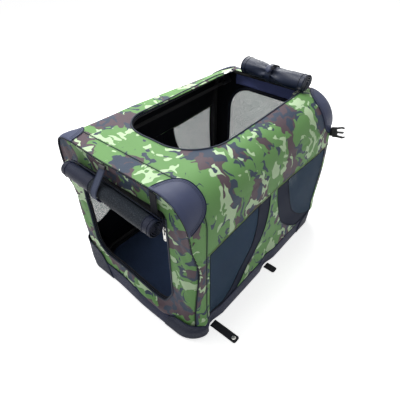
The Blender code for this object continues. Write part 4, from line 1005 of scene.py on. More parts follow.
def shoulder_reach(side, turn, y):
    """Radius of the shoulder at a turn: the left one is drawn out square towards the front."""
    power = 2.0
    if side < 0:
        power += (LEFT_SHOULDER_SQUARE - 2) * (1 - smooth_step(y, -0.20, 0.29))
    across, up = max(math.sin(turn), 0.0), max(math.cos(turn), 0.0)
    return SHOULDER_RADIUS * (across ** power + up ** power) ** (-1 / power)


def slack(s, y):
    """How far the cover hangs in from its taut shape."""
    between = max(0, 1 - (y / HOOP_PLACE) ** 2)
    run = abs(s)
    roof = ROOF_SAG * between * (1 - smooth_step(run, FLAT, FLAT + ARC) * 0.4)
    height = height_of(run)
    below = smooth_step(SHOULDER_FOOT + 0.03 - height, 0, 0.11)
    below *= smooth_step(height, COVER_FOOT, COVER_FOOT + 0.07)
    side = SIDE_SAG * between * below
    waves = ripple(s, y, 0.3, 9) * 0.0022 + ripple(s, y, 4.1, 26) * 0.0007
    held = smooth_step(HALF_LENGTH - abs(y), 0, 0.04) * smooth_step(height, COVER_FOOT, COVER_FOOT + 0.03)
    return roof * (1 if run < FLAT + ARC else 1 - below) * 0.8 + side + waves * (0.25 + 0.75 * between) * held


def collar_folds(s, y):
    """Short level folds where the collar is drawn tight below its patch."""
    height = height_of(abs(s))
    near_front = smooth_step(y, COLLAR_SEAM - 0.002, COLLAR_SEAM - 0.016)
    near_front *= smooth_step(y, -HALF_LENGTH, -HALF_LENGTH + 0.012)
    strength = bell(height, COLLAR_FOLD_HEIGHT, COLLAR_FOLD_REACH) * near_front
    along_folds = height + 0.18 * y + ripple(s, y, 2, 30) * 0.002
    return COLLAR_FOLD_DEPTH * strength * math.sin(2 * math.pi * along_folds / COLLAR_FOLD_PITCH)


def on_cover(s, y, lift):
    """The place of a point of the cover: s round its cross-section from the roof's middle, y along it."""
    side = math.copysign(1, s)
    run = abs(s)
    out = lift - slack(s, y) + collar_folds(s, y)
    if run <= FLAT:
        return leaned(Vector((s, y, HEIGHT + out)))
    if run <= FLAT + ARC:
        turn = (run - FLAT) / SHOULDER_RADIUS
        reach = shoulder_reach(side, turn, y) + out
        place = Vector((side * (FLAT + reach * math.sin(turn)), y, SHOULDER_FOOT + reach * math.cos(turn)))
        return leaned(place)
    z = height_of(run)
    z -= seam_dip(y, z)
    end = math.copysign(1, y)
    radius = front_corner(z) if end < 0 else REAR_CORNER
    start = HALF_LENGTH - radius
    turn = max(abs(y) - start, 0) / radius
    out += foot_swell(side * HALF_WIDTH, y) * (1 - smooth_step(z, COVER_FOOT, COVER_FOOT + 0.05)) * 0.7
    out += side_bulge(side, y, z)
    x = HALF_WIDTH - radius + (radius + out) * math.cos(turn)
    return leaned(Vector((side * x, end * (min(abs(y), start) + (radius + out) * math.sin(turn)), z)))


def seam_dip(y, z):
    """How much lower the side seam runs towards the front."""
    along_side = smooth_step(-y, 0.04, 0.24) * (1 - smooth_step(-y, 0.262, 0.292))
    return SEAM_DIP * along_side * bell(z, SEAM_DIP_HEIGHT, SEAM_DIP_REACH)


def side_bulge(side, y, z):
    """How far a side stands out from its taut shape, on the left right up to the front corner."""
    along_side = 1 if side < 0 else smooth_step(y, -0.24, -0.05)
    along_side *= 1 - REAR_BULGE_FADES * smooth_step(y, 0.22, 0.29)
    return SIDE_BULGE * bell(z, SIDE_BULGE_HEIGHT, SIDE_BULGE_REACH) * along_side


def leaned(place):
    """A point of the cover near its front edge, moved with the edge as it leans out."""
    weight = 1 - smooth_step(place.y, -HALF_LENGTH + 0.002, COLLAR_SEAM + 0.004)
    place.y -= front_lean(place.x, place.z) * weight
    return place


def panel_waves(x, z):
    """Slack of the front panel beside the doorway and below it."""
    beside = smooth_step(abs(x), DOOR_HALF_WIDTH, DOOR_HALF_WIDTH + 0.02)
    below = 1 - smooth_step(z, DOOR_SILL - 0.03, DOOR_SILL)
    loose = max(beside, below) * smooth_step(z, COVER_FOOT, COVER_FOOT + 0.02)
    edge = 1 - smooth_step(abs(x), HALF_WIDTH - 0.03, HALF_WIDTH - 0.002)
    slanting = math.sin(2 * math.pi * (x * 0.9 + z * 0.42 + ripple(x, 0, z, 14) * 0.012) / PANEL_WAVE_PITCH)
    return (0.0011 * slanting + 0.0012 * ripple(x, 1, z, 18)) * loose * edge + 0.0004 * ripple(x, 7, z, 30)


def front_sag(x, z):
    """How far the front panel hangs down below the doorway's right half, over the tray."""
    across = smooth_step(x, -0.07, 0.11) * (1 - smooth_step(x, 0.108, 0.136))
    up = SILL_SAG_AT_FOOT + (1 - SILL_SAG_AT_FOOT) * smooth_step(z, COVER_FOOT, 0.09)
    return SILL_SAG * across * (1 - smooth_step(z, 0.12, 0.28)) * up


def on_front(x, z, lift):
    """The place of a point of the front panel, which turns in round the front corners."""
    sag = front_sag(x, z)
    radius = front_corner(z) - PANEL_RECESS
    start = HALF_WIDTH - front_corner(z)
    out = lift + panel_waves(x, z)
    over_tray = 0.7 + 0.5 * min(sag / 0.010, 1)
    out += foot_swell(x, -HALF_LENGTH) * (1 - smooth_step(z, COVER_FOOT, COVER_FOOT + 0.05)) * over_tray
    out += 0.0035 * min(sag / 0.010, 1) * (1 - smooth_step(z, COVER_FOOT, COVER_FOOT + 0.03))
    out += front_lean(x, z)
    if z >= SHOULDER_FOOT:
        return Vector((x, PANEL_RECESS - HALF_LENGTH - out, z))
    turn = max(abs(x) - start, 0) / radius
    across = math.copysign(min(abs(x), start) + (radius + out) * math.sin(turn), x)
    across -= side_bulge(-1, 0, z) * smooth_step(-x, DOOR_HALF_WIDTH, HALF_WIDTH)
    middle = HALF_LENGTH - front_corner(z)
    return Vector((across, -(middle + (radius + out) * math.cos(turn)), z - sag))


def on_rear(u, z, lift):
    """The place of a point of the rear panel, seen from behind."""
    out = lift + 0.0008 * ripple(u, 3, z, 16) * bell(u, 0, HALF_WIDTH)
    return Vector((-u, HALF_LENGTH - PANEL_RECESS + out, z))


# Cover


def roof_opening(inset):
    """Plan of the roof's opening: round corners in front, square ones at the rear."""
    half = ROOF_HALF_WIDTH - inset
    radii = [ROOF_LEFT_RADIUS - inset, ROOF_RIGHT_RADIUS - inset, ROOF_SQUARE_CORNER, ROOF_SQUARE_CORNER]
    return widened(rounded_box((-half, ROOF_FRONT + inset), (half, ROOF_REAR), radii, 24))


def widening(y):
    """How much further out the roof's opening runs on the left."""
    return OPENING_WIDENS * smooth_step(0.29 - y, 0, 0.11)


def widened(line):
    """A line round the roof's opening, drawn out on the left."""
    return [(x - widening(y) * smooth_step(-x, 0, ROOF_HALF_WIDTH), y) for x, y in line]


def collar_edge(s):
    """Flat place of the collar's front edge."""
    z = height_of(abs(s))
    if abs(s) <= FLAT + ARC:
        return -HALF_LENGTH + SEAM_INSET
    radius = front_corner(z)
    return -(HALF_LENGTH - radius) - radius * math.pi / 2 * seam_share(z)


def panel_edge(z):
    """Half width of the front panel as it was cut, at a height on its upright edge."""
    radius = front_corner(z) - PANEL_RECESS
    return HALF_WIDTH - front_corner(z) + radius * math.pi / 2 * (1 - seam_share(z))


def heights(start, end, spacing=0.008):
    """Evenly spaced heights from one to another."""
    steps = max(2, round(abs(end - start) / spacing))
    return [start + (end - start) * step / steps for step in range(steps + 1)]


def build_wrap():
    """The cloth over the roof and shoulders, with the roof's opening."""
    run = run_of(SIDE_SEAM)
    low = (-run, COLLAR_SEAM + SEAM_INSET)
    outline = rounded_box(low, (run, HALF_LENGTH - SEAM_INSET), [0.001] * 4, 1)
    wrap = sew("wrap", [outline, roof_opening(0)], on_cover, CAMO_CLOTH, LINING)
    return stands_for(wrap, "camouflage_soft", "cover_wrap")


def build_collar():
    """The strip of cloth between the front edge and the seam behind it."""
    run = run_of(COVER_FOOT)
    front = [(s, collar_edge(s)) for s in heights(-run, run, 0.006)]
    rear = [(run, COLLAR_SEAM - SEAM_INSET), (-run, COLLAR_SEAM - SEAM_INSET)]
    collar = sew("collar", [front + rear], on_cover, CAMO_CLOTH, LINING, cell=0.0042)
    return stands_for(collar, "camouflage_soft", "front_collar")


def goes_down_with_fold(obj):
    """Give a piece its own copy of its mesh."""
    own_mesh(obj)


def stands_for(obj, slot, *nodes, held="stretched", rests_on=FRAME_TUBES):
    """Hide the CAD nodes that a piece of the cover stands for, and attach the piece to the crate with its own
    mesh.
    """
    if nodes:
        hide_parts(*nodes)
    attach(obj, "crate")
    goes_down_with_fold(obj)
    declare_sheet(obj)
    return obj


def declare_sheet(obj):
    """Weigh up whether a piece of cloth is a sheet, from the size it was cut to, without keeping the answer;
    narrow tapes and rings of cloth are trim on a sheet.
    """
    if "flat_size" not in obj:
        return
    width, length = obj["flat_size"]
    min(width, length) > NARROWEST_SHEET and obj["flat_area"] > LEAST_SHARE * width * length


def quarter_curve(corner, reach, depth, floor, fullness):
    """A quarter of an oval about its upper corner, cut off level at a floor.

    A fullness over 2 is fuller than an ellipse.
    """
    points = [corner]
    lowest = min(1.0, (corner[1] - floor) / depth)
    for step in range(41):
        down = lowest * math.sin(math.pi / 2 * step / 40)
        out = max(1 - down ** fullness, 0) ** (1 / fullness)
        points.append((corner[0] + reach * out, corner[1] - depth * down))
    if depth > corner[1] - floor:
        points.append((corner[0], floor))
    return points


def window_outlines(end_name, side_name):
    """Mesh and band outlines of one side window, in distance along the crate and height."""
    place = end_name + "_" + side_name
    edge = WINDOW_EDGES[place]
    far, bottom, fullness = WINDOW_CURVES[place]
    away = math.copysign(1, far - edge)
    reach = abs(far - edge)
    corner = (edge, WINDOW_TOP)
    mesh = quarter_curve(corner, away * reach, WINDOW_TOP - bottom, bottom - 0.001, fullness)
    depth = WINDOW_TOP - WINDOW_BOTTOM + BAND_WIDTH_FOOT
    outer = quarter_curve(corner, away * (reach + BAND_WIDTH_TOP), depth, BAND_FLOOR, BAND_FULLNESS[end_name])
    return mesh, outer


def on_side(loop, side):
    """An outline in length and height, as flat places on the cover's cloth."""
    flat = [(side * run_of(z), y) for y, z in loop]
    area = sum(x * b - a * y for (x, y), (a, b) in zip(flat, flat[1:] + flat[:1]))
    return flat if area > 0 else flat[::-1]


def build_side(side_name, side):
    """One side below the shoulder, with its bands, windows and bindings."""
    low = (COLLAR_SEAM + SEAM_INSET, COVER_FOOT)
    cloth = rounded_box(low, (HALF_LENGTH - SEAM_INSET, SIDE_SEAM - SEAM_INSET), [0.001] * 4, 1)
    outlines = {end_name: window_outlines(end_name, side_name) for end_name in ENDS}
    loops = [on_side(cloth, side)] + [on_side(outer, side) for mesh, outer in outlines.values()]
    panel = sew("side_" + side_name, loops, on_cover, CAMO_CLOTH, LINING)
    stands_for(panel, "camouflage_soft", "side_panel_" + side_name)
    bindings = []
    for end_name, (mesh, outer) in outlines.items():
        place = "%s_%s" % (end_name, side_name)
        lower = lowered(on_cover, LAYER)
        band = sew("band_" + place, [on_side(outer, side), on_side(mesh, side)], lower, BAND_CLOTH, LINING)
        stands_for(band, "navy", "window_band_" + place)
        # The mesh's inside face takes the copy with painted light
        window = sew("mesh_" + place, [on_side(mesh, side)], lowered(on_cover, 2 * LAYER), WINDOW_MESH,
                     WINDOW_MESH_PAINTED_LIT, MESH_CLOTH)
        stands_for(window, "net", "window_" + place)
        bindings.append(laid(on_cover, on_side(mesh, side), -0.0002, closed=True))
        bindings.append(laid(on_cover, on_side(outer, side), 0.0001, closed=True))
    stands_for(cords("window_cords_" + side_name, bindings, WINDOW_CORD_RADIUS, BINDING_TAPE, 6), "black")


def lowered(lay, depth):
    """A place function for cloth that lies a little deeper."""
    return lambda x, y, lift: lay(x, y, lift - depth)


# Ends


def panel_outline(half_width, y):
    """An end panel as it was cut; the function gives its half width below the shoulders."""
    upright = [(half_width(z), z) for z in heights(COVER_FOOT, SHOULDER_FOOT)[:-1]]
    right = upright + shoulder_line(1, y, PANEL_SHOULDER_INSET)
    left = upright + shoulder_line(-1, y, PANEL_SHOULDER_INSET)
    return right + [(-x, z) for x, z in reversed(left)]


def shoulder_line(side, y, inset):
    """A shoulder's cross-section at a place along the crate, from its foot up: distance out, and height."""
    points = []
    for step in range(25):
        turn = math.pi / 2 * (1 - step / 24)
        reach = shoulder_reach(side, turn, y) - inset
        points.append((FLAT + reach * math.sin(turn), SHOULDER_FOOT + reach * math.cos(turn)))
    return points


def door_track(inset):
    """The doorway's three open sides, from its left top round the sill to its right top."""
    half = DOOR_HALF_WIDTH - inset
    sill = DOOR_SILL + inset
    corner = DOOR_CORNER - inset
    top = DOOR_LINTEL - DOOR_TOP_CORNER
    outer = DOOR_LEFT + inset
    left = [(outer, top)] + arc((outer + corner, sill + corner), corner, 180, 270, 14)
    return left + arc((half - corner, sill + corner), corner, 270, 360, 14) + [(half, top)]


def roof_track(inset):
    """The roof opening's three zipped sides, from its left rear round the front to its right rear."""
    half = ROOF_HALF_WIDTH - inset
    front = ROOF_FRONT + inset
    rear = ROOF_REAR - 0.005
    corner = ROOF_LEFT_RADIUS - inset
    left = [(-half, rear), (-half, rear / 2)] + arc((corner - half, front + corner), corner, 180, 270, 30)
    corner = ROOF_RIGHT_RADIUS - inset
    right = arc((half - corner, front + corner), corner, 270, 360, 30) + [(half, rear)]
    return widened(spaced(left + right, 0.01, False))


def build_front_panel():
    """The camouflage panel with the doorway."""
    low = (DOOR_LEFT, DOOR_SILL)
    hole = rounded_box(low, (DOOR_HALF_WIDTH, DOOR_LINTEL), [DOOR_CORNER] * 2 + [DOOR_TOP_CORNER] * 2)
    outline = panel_outline(panel_edge, -HALF_LENGTH)
    panel = sew("front_cloth", [outline, hole], on_front, CAMO_CLOTH, LINING, cell=0.0048)
    stands_for(panel, "camouflage_soft", "front_panel")
    # A black strip behind the doorway's head: the door's cloth where it hangs from the lintel, and painted shade
    # under the lintel
    low = (DOOR_LEFT - 0.004, DOOR_LINTEL - DOOR_HEAD)
    head = rounded_box(low, (DOOR_HALF_WIDTH + 0.004, DOOR_LINTEL + 0.004), [0.002] * 4, 2)
    stands_for(sew("door_head", [head], lowered(on_front, CLOTH + LAYER), LINING), "black")


def rear_window(inset):
    """The rear window's outline, with large round corners at its top."""
    low = (REAR_WINDOW_LOW.x + inset, REAR_WINDOW_LOW.z + inset)
    high = (REAR_WINDOW_HIGH.x - inset, REAR_WINDOW_HIGH.z - inset)
    foot, top = REAR_WINDOW_FOOT_RADIUS - inset, REAR_WINDOW_TOP_RADIUS - inset
    return rounded_box(low, high, [foot, foot, top, top])


def build_rear_panel():
    """The camouflage panel at the rear, its mesh window and the window's binding, with a navy strip of painted
    light inside its top.
    """
    outline = panel_outline(lambda z: HALF_WIDTH - REAR_CORNER / 2, HALF_LENGTH)
    panel = sew("rear_cloth", [outline, rear_window(0)], on_rear, CAMO_CLOTH, LINING)
    stands_for(panel, "camouflage_soft", "rear_panel")
    # A bright navy strip inside the rear panel's top, where light from the roof's opening is painted
    facing = rounded_box((-FLAT, REAR_WINDOW_HIGH.z + 0.002), (FLAT, HEIGHT - 0.008), [0.002] * 4, 2)
    behind = lowered(on_rear, CLOTH + LAYER)
    stands_for(sew("rear_facing_painted_light", [facing], behind, NAVY_LINING_PAINTED_LIT, thickness=LAYER), "navy")
    proud = lowered(on_rear, -LAYER)
    binding = sew("rear_binding", [rear_window(0), rear_window(BINDING_WIDTH)], proud, BINDING_TAPE,
                  thickness=CLOTH + 2 * LAYER)
    stands_for(binding, "black", "rear_window_binding")
    inner = [rear_window(BINDING_WIDTH)]
    # The rear mesh takes its colour with painted light
    mesh = sew("rear_mesh", inner, lowered(on_rear, LAYER), REAR_MESH_PAINTED_LIT, thickness=MESH_CLOTH)
    stands_for(mesh, "net", "rear_window")


def end_seam(end):
    """The line round one end of the crate where its panel is sewn in, from the left foot to the right."""
    whole = run_of(COVER_FOOT)
    line = []
    for s in heights(-whole, whole, 0.006):
        if end < 0:
            inset = PIPING_INSET * smooth_step(height_of(abs(s)), SHOULDER_FOOT - 0.03, SHOULDER_FOOT)
            y = collar_edge(s) + inset
        else:
            y = HALF_LENGTH - PIPING_INSET
        line.append(on_cover(s, y, -PIPING_INSET))
    return line


def build_pipings():
    """Piping round both ends, and the seams along the cover."""
    for end_name, end in ENDS.items():
        piping = cords(end_name + "_edge_piping", [end_seam(end)], PIPING_RADIUS, BINDING_TAPE)
        stands_for(piping, "black", end_name + "_piping")
    run = run_of(SIDE_SEAM)
    for name, s in {"side_seam_left": -run, "side_seam_right": run}.items():
        line = laid(on_cover, [(s, COLLAR_SEAM), (s, HALF_LENGTH - 0.002)], 0.0002)
        stands_for(cords(name, [line], SEAM_CORD_RADIUS, SEAM_CORD, 7), "camouflage_soft")
    whole = run_of(COVER_FOOT)
    collar = laid(on_cover, [(-whole, COLLAR_SEAM), (whole, COLLAR_SEAM)], 0.0001)
    stands_for(cords("collar_seam", [collar], SEAM_CORD_RADIUS, SLATE_CORD, 7), "camouflage_soft")
    rows = [laid(on_cover, [(-whole, COLLAR_SEAM + off), (whole, COLLAR_SEAM + off)], 0.0002)
            for off in (0.0030, -0.0030)]
    stands_for(stitches("collar_stitching", rows, PALE_THREAD), "camouflage_soft")


def folded_tape(lay, track, level_share):
    """The place function of a zip tape sewn along a track, and its length.

    The tape is turned in behind the cloth's edge, but lies level where its slider runs.
    """
    flat = spaced(track, 0.004, False)
    stations = []
    for number, point in enumerate(flat):
        ahead = (flat[min(number + 1, len(flat) - 1)] - flat[max(number - 1, 0)]).normalized()
        inward = Vector((-ahead.y, ahead.x)) * 0.006
        edge = lay(point.x, point.y, 0)
        aside = (lay(point.x + inward.x, point.y + inward.y, 0) - edge).normalized()
        out = (lay(point.x, point.y, 0.004) - edge).normalized()
        turn = math.radians(TAPE_TURN) * (1 - level_share(point.x, point.y))
        across = aside * math.cos(turn) - out * math.sin(turn)
        up = aside * math.sin(turn) + out * math.cos(turn)
        stations.append((edge, across, up))
    lengths = [0.0]
    for (start, *_), (end, *_) in zip(stations, stations[1:]):
        lengths.append(lengths[-1] + (end - start).length)
    edges, acrosses, ups = zip(*stations)

    def place(u, run, lift):
        parts = [point_along(line, lengths, run) for line in (edges, acrosses, ups)]
        return parts[0] - parts[1] * u + parts[2] * lift

    return place, lengths[-1]


def level_at_doorway(x, z):
    """Where the doorway's tape lies level: by its slider, on the right."""
    return smooth_step(z, 0.31, 0.335) * (1 if x > 0 else 0)


def level_at_opening(s, y):
    """Where the roof opening's tape lies level: by its sliders."""
    return smooth_step(y, 0.20, 0.235)


def build_zip_tapes():
    """Zip tapes round the doorway and the roof's opening, with their coils and bindings."""
    places = {
        "doorway": (on_front, door_track, level_at_doorway, "doorway_zip_tape"),
        "roof": (on_cover, roof_track, level_at_opening, "roof_zip_tape"),
    }
    for name, (lay, track, level_share, node) in places.items():
        place, length = folded_tape(lowered(lay, 0.0002), track(0), level_share)
        outline = rounded_box((-TAPE_WIDTH, 0), (0, length), [0.0004] * 4, 1)
        stands_for(sew(name + "_tape", [outline], place, BINDING_TAPE), "black", node)
        edge = [laid(lay, track(-0.0012), 0.0006)]
        stands_for(cords(name + "_edge_binding", edge, EDGE_BINDING_RADIUS, EDGE_BINDING, 8), "black")
        fold = [laid(place, [(-TAPE_WIDTH * 0.5, 0.001), (-TAPE_WIDTH * 0.5, length - 0.001)], 0.0002)]
        stands_for(stitches(name + "_tape_stitching", fold, GREY_THREAD), "black")
        count = int(length / TEETH_PITCH)
        runs = [(number + 0.5) * length / count for number in range(count)]
        ends = (0.0012 - TAPE_WIDTH, -0.0014 - TAPE_WIDTH)
        teeth = [[place(across, run, 0.0006) for across in ends] for run in runs]
        stands_for(cords(name + "_zip_coil", teeth, TEETH_RADIUS, PLASTIC, 5), "plastic")


# Patches


def patch_curve(corner, inset):
    """The curved edge of a patch: run round the cross-section, and distance from the crate's end."""
    depth, on_roof, on_side = PATCH_SIZES[corner]
    length = on_roof + ARC + on_side
    points = []
    for step in range(49):
        across = 0.5 - 0.5 * math.cos(math.pi * step / 48)
        out = (1 - abs(2 * across - 1) ** PATCH_SQUARENESS) ** PATCH_FULLNESS
        points.append((FLAT - on_roof + length * across, depth * out))
    if not inset:
        return points
    middle = FLAT - on_roof + length / 2
    drawn = []
    for (s, depth), (before, low), (after, high) in zip(points[1:-1], points, points[2:]):
        ahead = Vector((after - before, high - low)).normalized()
        drawn.append((s + ahead.y * inset, depth - ahead.x * inset))
    return [(s, depth) for s, depth in drawn if depth > 0.004 or abs(s - middle) < 0.02]


def on_end(curve, side, end, edge=SEAM_INSET):
    """A patch's curve as flat places on the cover, for one of its four corners."""
    return [(side * s, end * (HALF_LENGTH - edge - depth)) for s, depth in curve]


def on_patch(corner):
    """The place function of a patch, which stands a little proud in its middle."""
    depth, on_roof, on_side = PATCH_SIZES[corner]
    middle = FLAT + (ARC + on_side - on_roof) / 2

    def lay(s, y, lift):
        from_end = HALF_LENGTH - abs(y)
        crown = smooth_step(from_end, 0, 0.012) * (1 - smooth_step(from_end, depth * 0.4, depth))
        crown *= bell(abs(s), middle, depth)
        return on_cover(s, y, lift + PATCH_CLOTH + LAYER + PATCH_CROWN * crown)

    return lay


def build_patch(side_name, side, end_name, end):
    """The coated shield over one upper corner, with its bound edge and double stitching."""
    place = "%s_%s" % (end_name, side_name)
    proud = on_patch(place)
    outline = on_end(patch_curve(place, 0), side, end)
    if side * end > 0:
        outline = outline[::-1]
    patch = sew("patch_" + place, [outline], proud, PATCH_FINISH, thickness=PATCH_CLOTH, cell=0.0045)
    stands_for(patch, "navy", "shoulder_patch_" + place)
    edge = [laid(proud, on_end(patch_curve(place, 0.0012), side, end), -0.0002)]
    stands_for(cords("patch_binding_" + place, edge, 0.0013, PATCH_BINDING_TAPE, 8), "black")
    rows = [laid(proud, on_end(patch_curve(place, STITCH_INSET + off), side, end), 0.0002)
            for off in (0, 0.0035)]
    stands_for(stitches("patch_stitching_" + place, rows, DARK_THREAD), "black")


# Tray


def tray_rise(x, y):
    """How much higher the tray's top edge stands at the left of the front."""
    return TRAY_RISE * (1 - smooth_step(x, -0.03, 0.03)) * (1 - smooth_step(y, -0.262, -0.215))


def tray_shape(z):
    """Inset, corner radius and share of the swell of the tray at a height."""
    levels = numpy.array(TRAY_LEVELS)
    return [float(numpy.interp(z, levels[:, 0], levels[:, column])) for column in (1, 2, 3)]


def on_tray(side, end):
    """The place function round one corner of the tray, from the middle of its turn, and up it."""
    def lay(q, z, lift):
        inset, radius, share = tray_shape(min(max(z, 0), BAND_HEIGHT))
        half_turn = radius * math.pi / 4
        turn = math.pi / 4 + min(max(q, -half_turn), half_turn) / radius
        straight = max(abs(q) - half_turn, 0)
        x = HALF_WIDTH - radius - (straight if q < 0 else 0)
        y = HALF_LENGTH - radius - (straight if q > 0 else 0)
        swell = foot_swell(side * (x + radius * math.sin(turn)), end * (y + radius * math.cos(turn))) * share
        onto_panel = 0.0025 * smooth_step(z, BAND_HEIGHT, BAND_HEIGHT + 0.035) * smooth_step(-q, 0, 0.03)
        reach = radius - inset + swell + lift - onto_panel
        return Vector((side * (x + reach * math.sin(turn)), end * (y + reach * math.cos(turn)), z))
    return lay


def build_tray():
    """The tray of coated cloth that the cover is sewn to."""
    form = bmesh.new()
    flat = form.loops.layers.uv.new("cloth")
    outer = [(z, inset, radius, share, 0) for z, inset, radius, share in TRAY_LEVELS]
    inner = [(max(z, CLOTH), inset, radius, share, CLOTH)
             for z, inset, radius, share in reversed(TRAY_LEVELS)]
    rings = []
    for z, inset, radius, share, depth in outer + inner:
        ring = []
        for x, y, turn in tray_ring(radius):
            swell = foot_swell(x, y) * share - inset - depth
            height = z + tray_rise(x, y) * smooth_step(z, 0.020, BAND_HEIGHT)
            ring.append(form.verts.new((x + swell * math.cos(turn), y + swell * math.sin(turn), height)))
        rings.append(ring)
    perimeter = 4 * (HALF_WIDTH + HALF_LENGTH)
    count = len(rings[0])
    run = 0.0
    for lower, upper in zip(rings, rings[1:]):
        step = (upper[0].co - lower[0].co).length
        for number in range(count):
            beyond = (number + 1) % count
            face = form.faces.new((lower[number], lower[beyond], upper[beyond], upper[number]))
            face.smooth = True
            face.material_index = 0 if len(rings) // 2 > rings.index(lower) else 1
            places = [(number, run), (number + 1, run), (number + 1, run + step), (number, run + step)]
            for loop, (along, up) in zip(face.loops, places):
                loop[flat].uv = (along / count * perimeter, up)
        run += step
    for ring, index in ((rings[0][::-1], 0), (rings[-1], 1)):
        face = form.faces.new(ring)
        face.material_index = index
        for loop in face.loops:
            loop[flat].uv = loop.vert.co.xy
    for edge in form.edges:
        if edge.calc_face_angle(0) > math.radians(40):
            edge.smooth = False
    tray = place_piece("tray", form, [TRAY_CLOTH, LINING])
    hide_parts("base_band")
    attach(tray, "crate")


def tray_ring(radius, bend_steps=12, straights=(24, 34)):
    """Places round the tray's full size, each with its outward direction; as many for every radius."""
    centres = [(-1, -1), (1, -1), (1, 1), (-1, 1)]
    bends = []
    for number, (side, end) in enumerate(centres):
        centre = (side * (HALF_WIDTH - radius), end * (HALF_LENGTH - radius))
        for step in range(bend_steps + 1):
            turn = math.pi + math.pi / 2 * (number + step / bend_steps)
            bends.append((centre[0] + radius * math.cos(turn), centre[1] + radius * math.sin(turn), turn))
    points = []
    for number in range(4):
        bend = bends[number * (bend_steps + 1):(number + 1) * (bend_steps + 1)]
        points += bend
        start = Vector(bend[-1][:2])
        end = Vector(bends[(number + 1) * (bend_steps + 1) % len(bends)][:2])
        pieces = straights[number % 2]
        for piece in range(1, pieces):
            place = start.lerp(end, piece / pieces)
            points.append((place.x, place.y, bend[-1][2]))
    return points


def foot_patch(corner, inset):
    """Outline of a tray corner's arched patch: distance round the corner, and height."""
    middle, half, top, squareness = FOOT_PATCHES[corner]
    points = []
    for step in range(41):
        turn = math.pi * step / 40
        rise = (top - inset - FOOT_PATCH_FLOOR) * max(math.sin(turn), 0) ** squareness
        points.append((middle + (half - inset) * math.cos(turn), FOOT_PATCH_FLOOR + rise))
    return points


def build_tray_trim():
    """Arched patches over the tray's corners, bound and double stitched."""
    for end_name, end in ENDS.items():
        for side_name, side in SIDES.items():
            corner = "%s_%s" % (end_name, side_name)
            proud = lowered(on_tray(side, end), -PATCH_CLOTH - LAYER)
            outline = foot_patch(corner, 0)
            if side * end > 0:
                outline = outline[::-1]
            name = "foot_patch_" + corner
            patch = sew(name, [outline], proud, TRAY_PATCH, thickness=PATCH_CLOTH, cell=0.0045)
            rides_on_base(patch)
            edge = [laid(proud, foot_patch(corner, 0.0014), -0.0003)]
            rides_on_base(cords("foot_binding_" + corner, edge, 0.0010, TRAY_CLOTH, 7))
            rows = [laid(proud, foot_patch(corner, inset), 0.0001) for inset in (0.0050, 0.0082)]
            rides_on_base(stitches("foot_stitching_" + corner, rows, GREY_THREAD))


def rides_on_base(obj):
    """A piece of the base, which stays put as the crate folds."""
    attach(obj, "crate")
    declare_sheet(obj)


# Floor


def build_mat():
    """The padded mat, crowned in its middle and thin at its edge."""
    low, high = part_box("floor_mat")
    points, faces = triangulated([rounded_box(low.xy, high.xy, [MAT_CORNER] * 4)], MAT_CELL)
    form = bmesh.new()
    flat = form.loops.layers.uv.new("cloth")
    thickness = high.z - low.z
    half = (high.x, high.y)

    def shares(x, y):
        from_edge = min(half[0] - abs(x), half[1] - abs(y))
        corner = Vector((max(abs(x) - half[0] + MAT_CORNER, 0), max(abs(y) - half[1] + MAT_CORNER, 0)))
        if corner.x and corner.y:
            from_edge = MAT_CORNER - corner.length
        return min(max(from_edge / MAT_EDGE, 0), 1)

    def top_at(x, y):
        edge = math.sqrt(1 - (1 - shares(x, y)) ** 2)
        crown = 1 - 0.10 * ((x / half[0]) ** 2 + (y / half[1]) ** 2) / 2
        return low.z + thickness * (0.42 + 0.56 * edge * crown) + 0.0006 * ripple(x, y, 0, 14)

    def foot_at(x, y):
        return low.z + thickness * 0.30 * (1 - shares(x, y)) ** 2

    top = [form.verts.new((x, y, top_at(x, y))) for x, y in points]
    foot = [form.verts.new((x, y, foot_at(x, y))) for x, y in points]
    uses = set()
    for face in faces:
        form.faces.new([top[number] for number in face])
        form.faces.new([foot[number] for number in reversed(face)])
        uses |= set(zip(face, face[1:] + face[:1]))
    for start, end in sorted(edge for edge in uses if edge[::-1] not in uses):
        form.faces.new([top[end], top[start], foot[start], foot[end]])
    for face in form.faces:
        face.smooth = True
        for loop in face.loops:
            loop[flat].uv = loop.vert.co.xy
    mat = place_piece("mat", form, [MAT_PILE])
    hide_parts("floor_mat")
    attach(mat, "crate")


# Rolled doors


def wound(turn, core, radius, turns):
    """A rolled cloth's side view: angle and radius at a distance along the winding from its core."""
    pitch = (radius - core) / turns
    rise = pitch / (4 * math.pi)
    total = core * 2 * math.pi * turns + rise * (2 * math.pi * turns) ** 2

    def at(run):
        angle = (-core + math.sqrt(core * core + 4 * rise * max(run, 0))) / (2 * rise)
        return angle + math.radians(turn), core + pitch * angle / (2 * math.pi)

    return at, total


def on_roll(centre, turn, swell, radius=ROLL_RADIUS):
    """The place function of a rolled door, and the length of its winding."""
    at, total = wound(turn, ROLL_CORE, radius, ROLL_TURNS)

    def lay(u, run, lift):
        angle, reach = at(run)
        reach = (reach + lift) * swell(-u, angle)
        return Vector((-u, centre[0] + reach * math.cos(angle), centre[1] + reach * math.sin(angle)))

    return lay, total


def along(line, across):
    """The place function of a strap that follows a line, with its width along a direction."""
    line = [Vector(point) for point in line]
    lengths = [0.0]
    for start, end in zip(line, line[1:]):
        lengths.append(lengths[-1] + (end - start).length)

    def lay(u, run, lift):
        reach = 0.0015
        before = point_along(line, lengths, max(run - reach, 0))
        after = point_along(line, lengths, min(run + reach, lengths[-1]))
        out = across.cross((after - before).normalized()).normalized()
        return point_along(line, lengths, run) + across * u + out * lift

    return lay, lengths[-1]


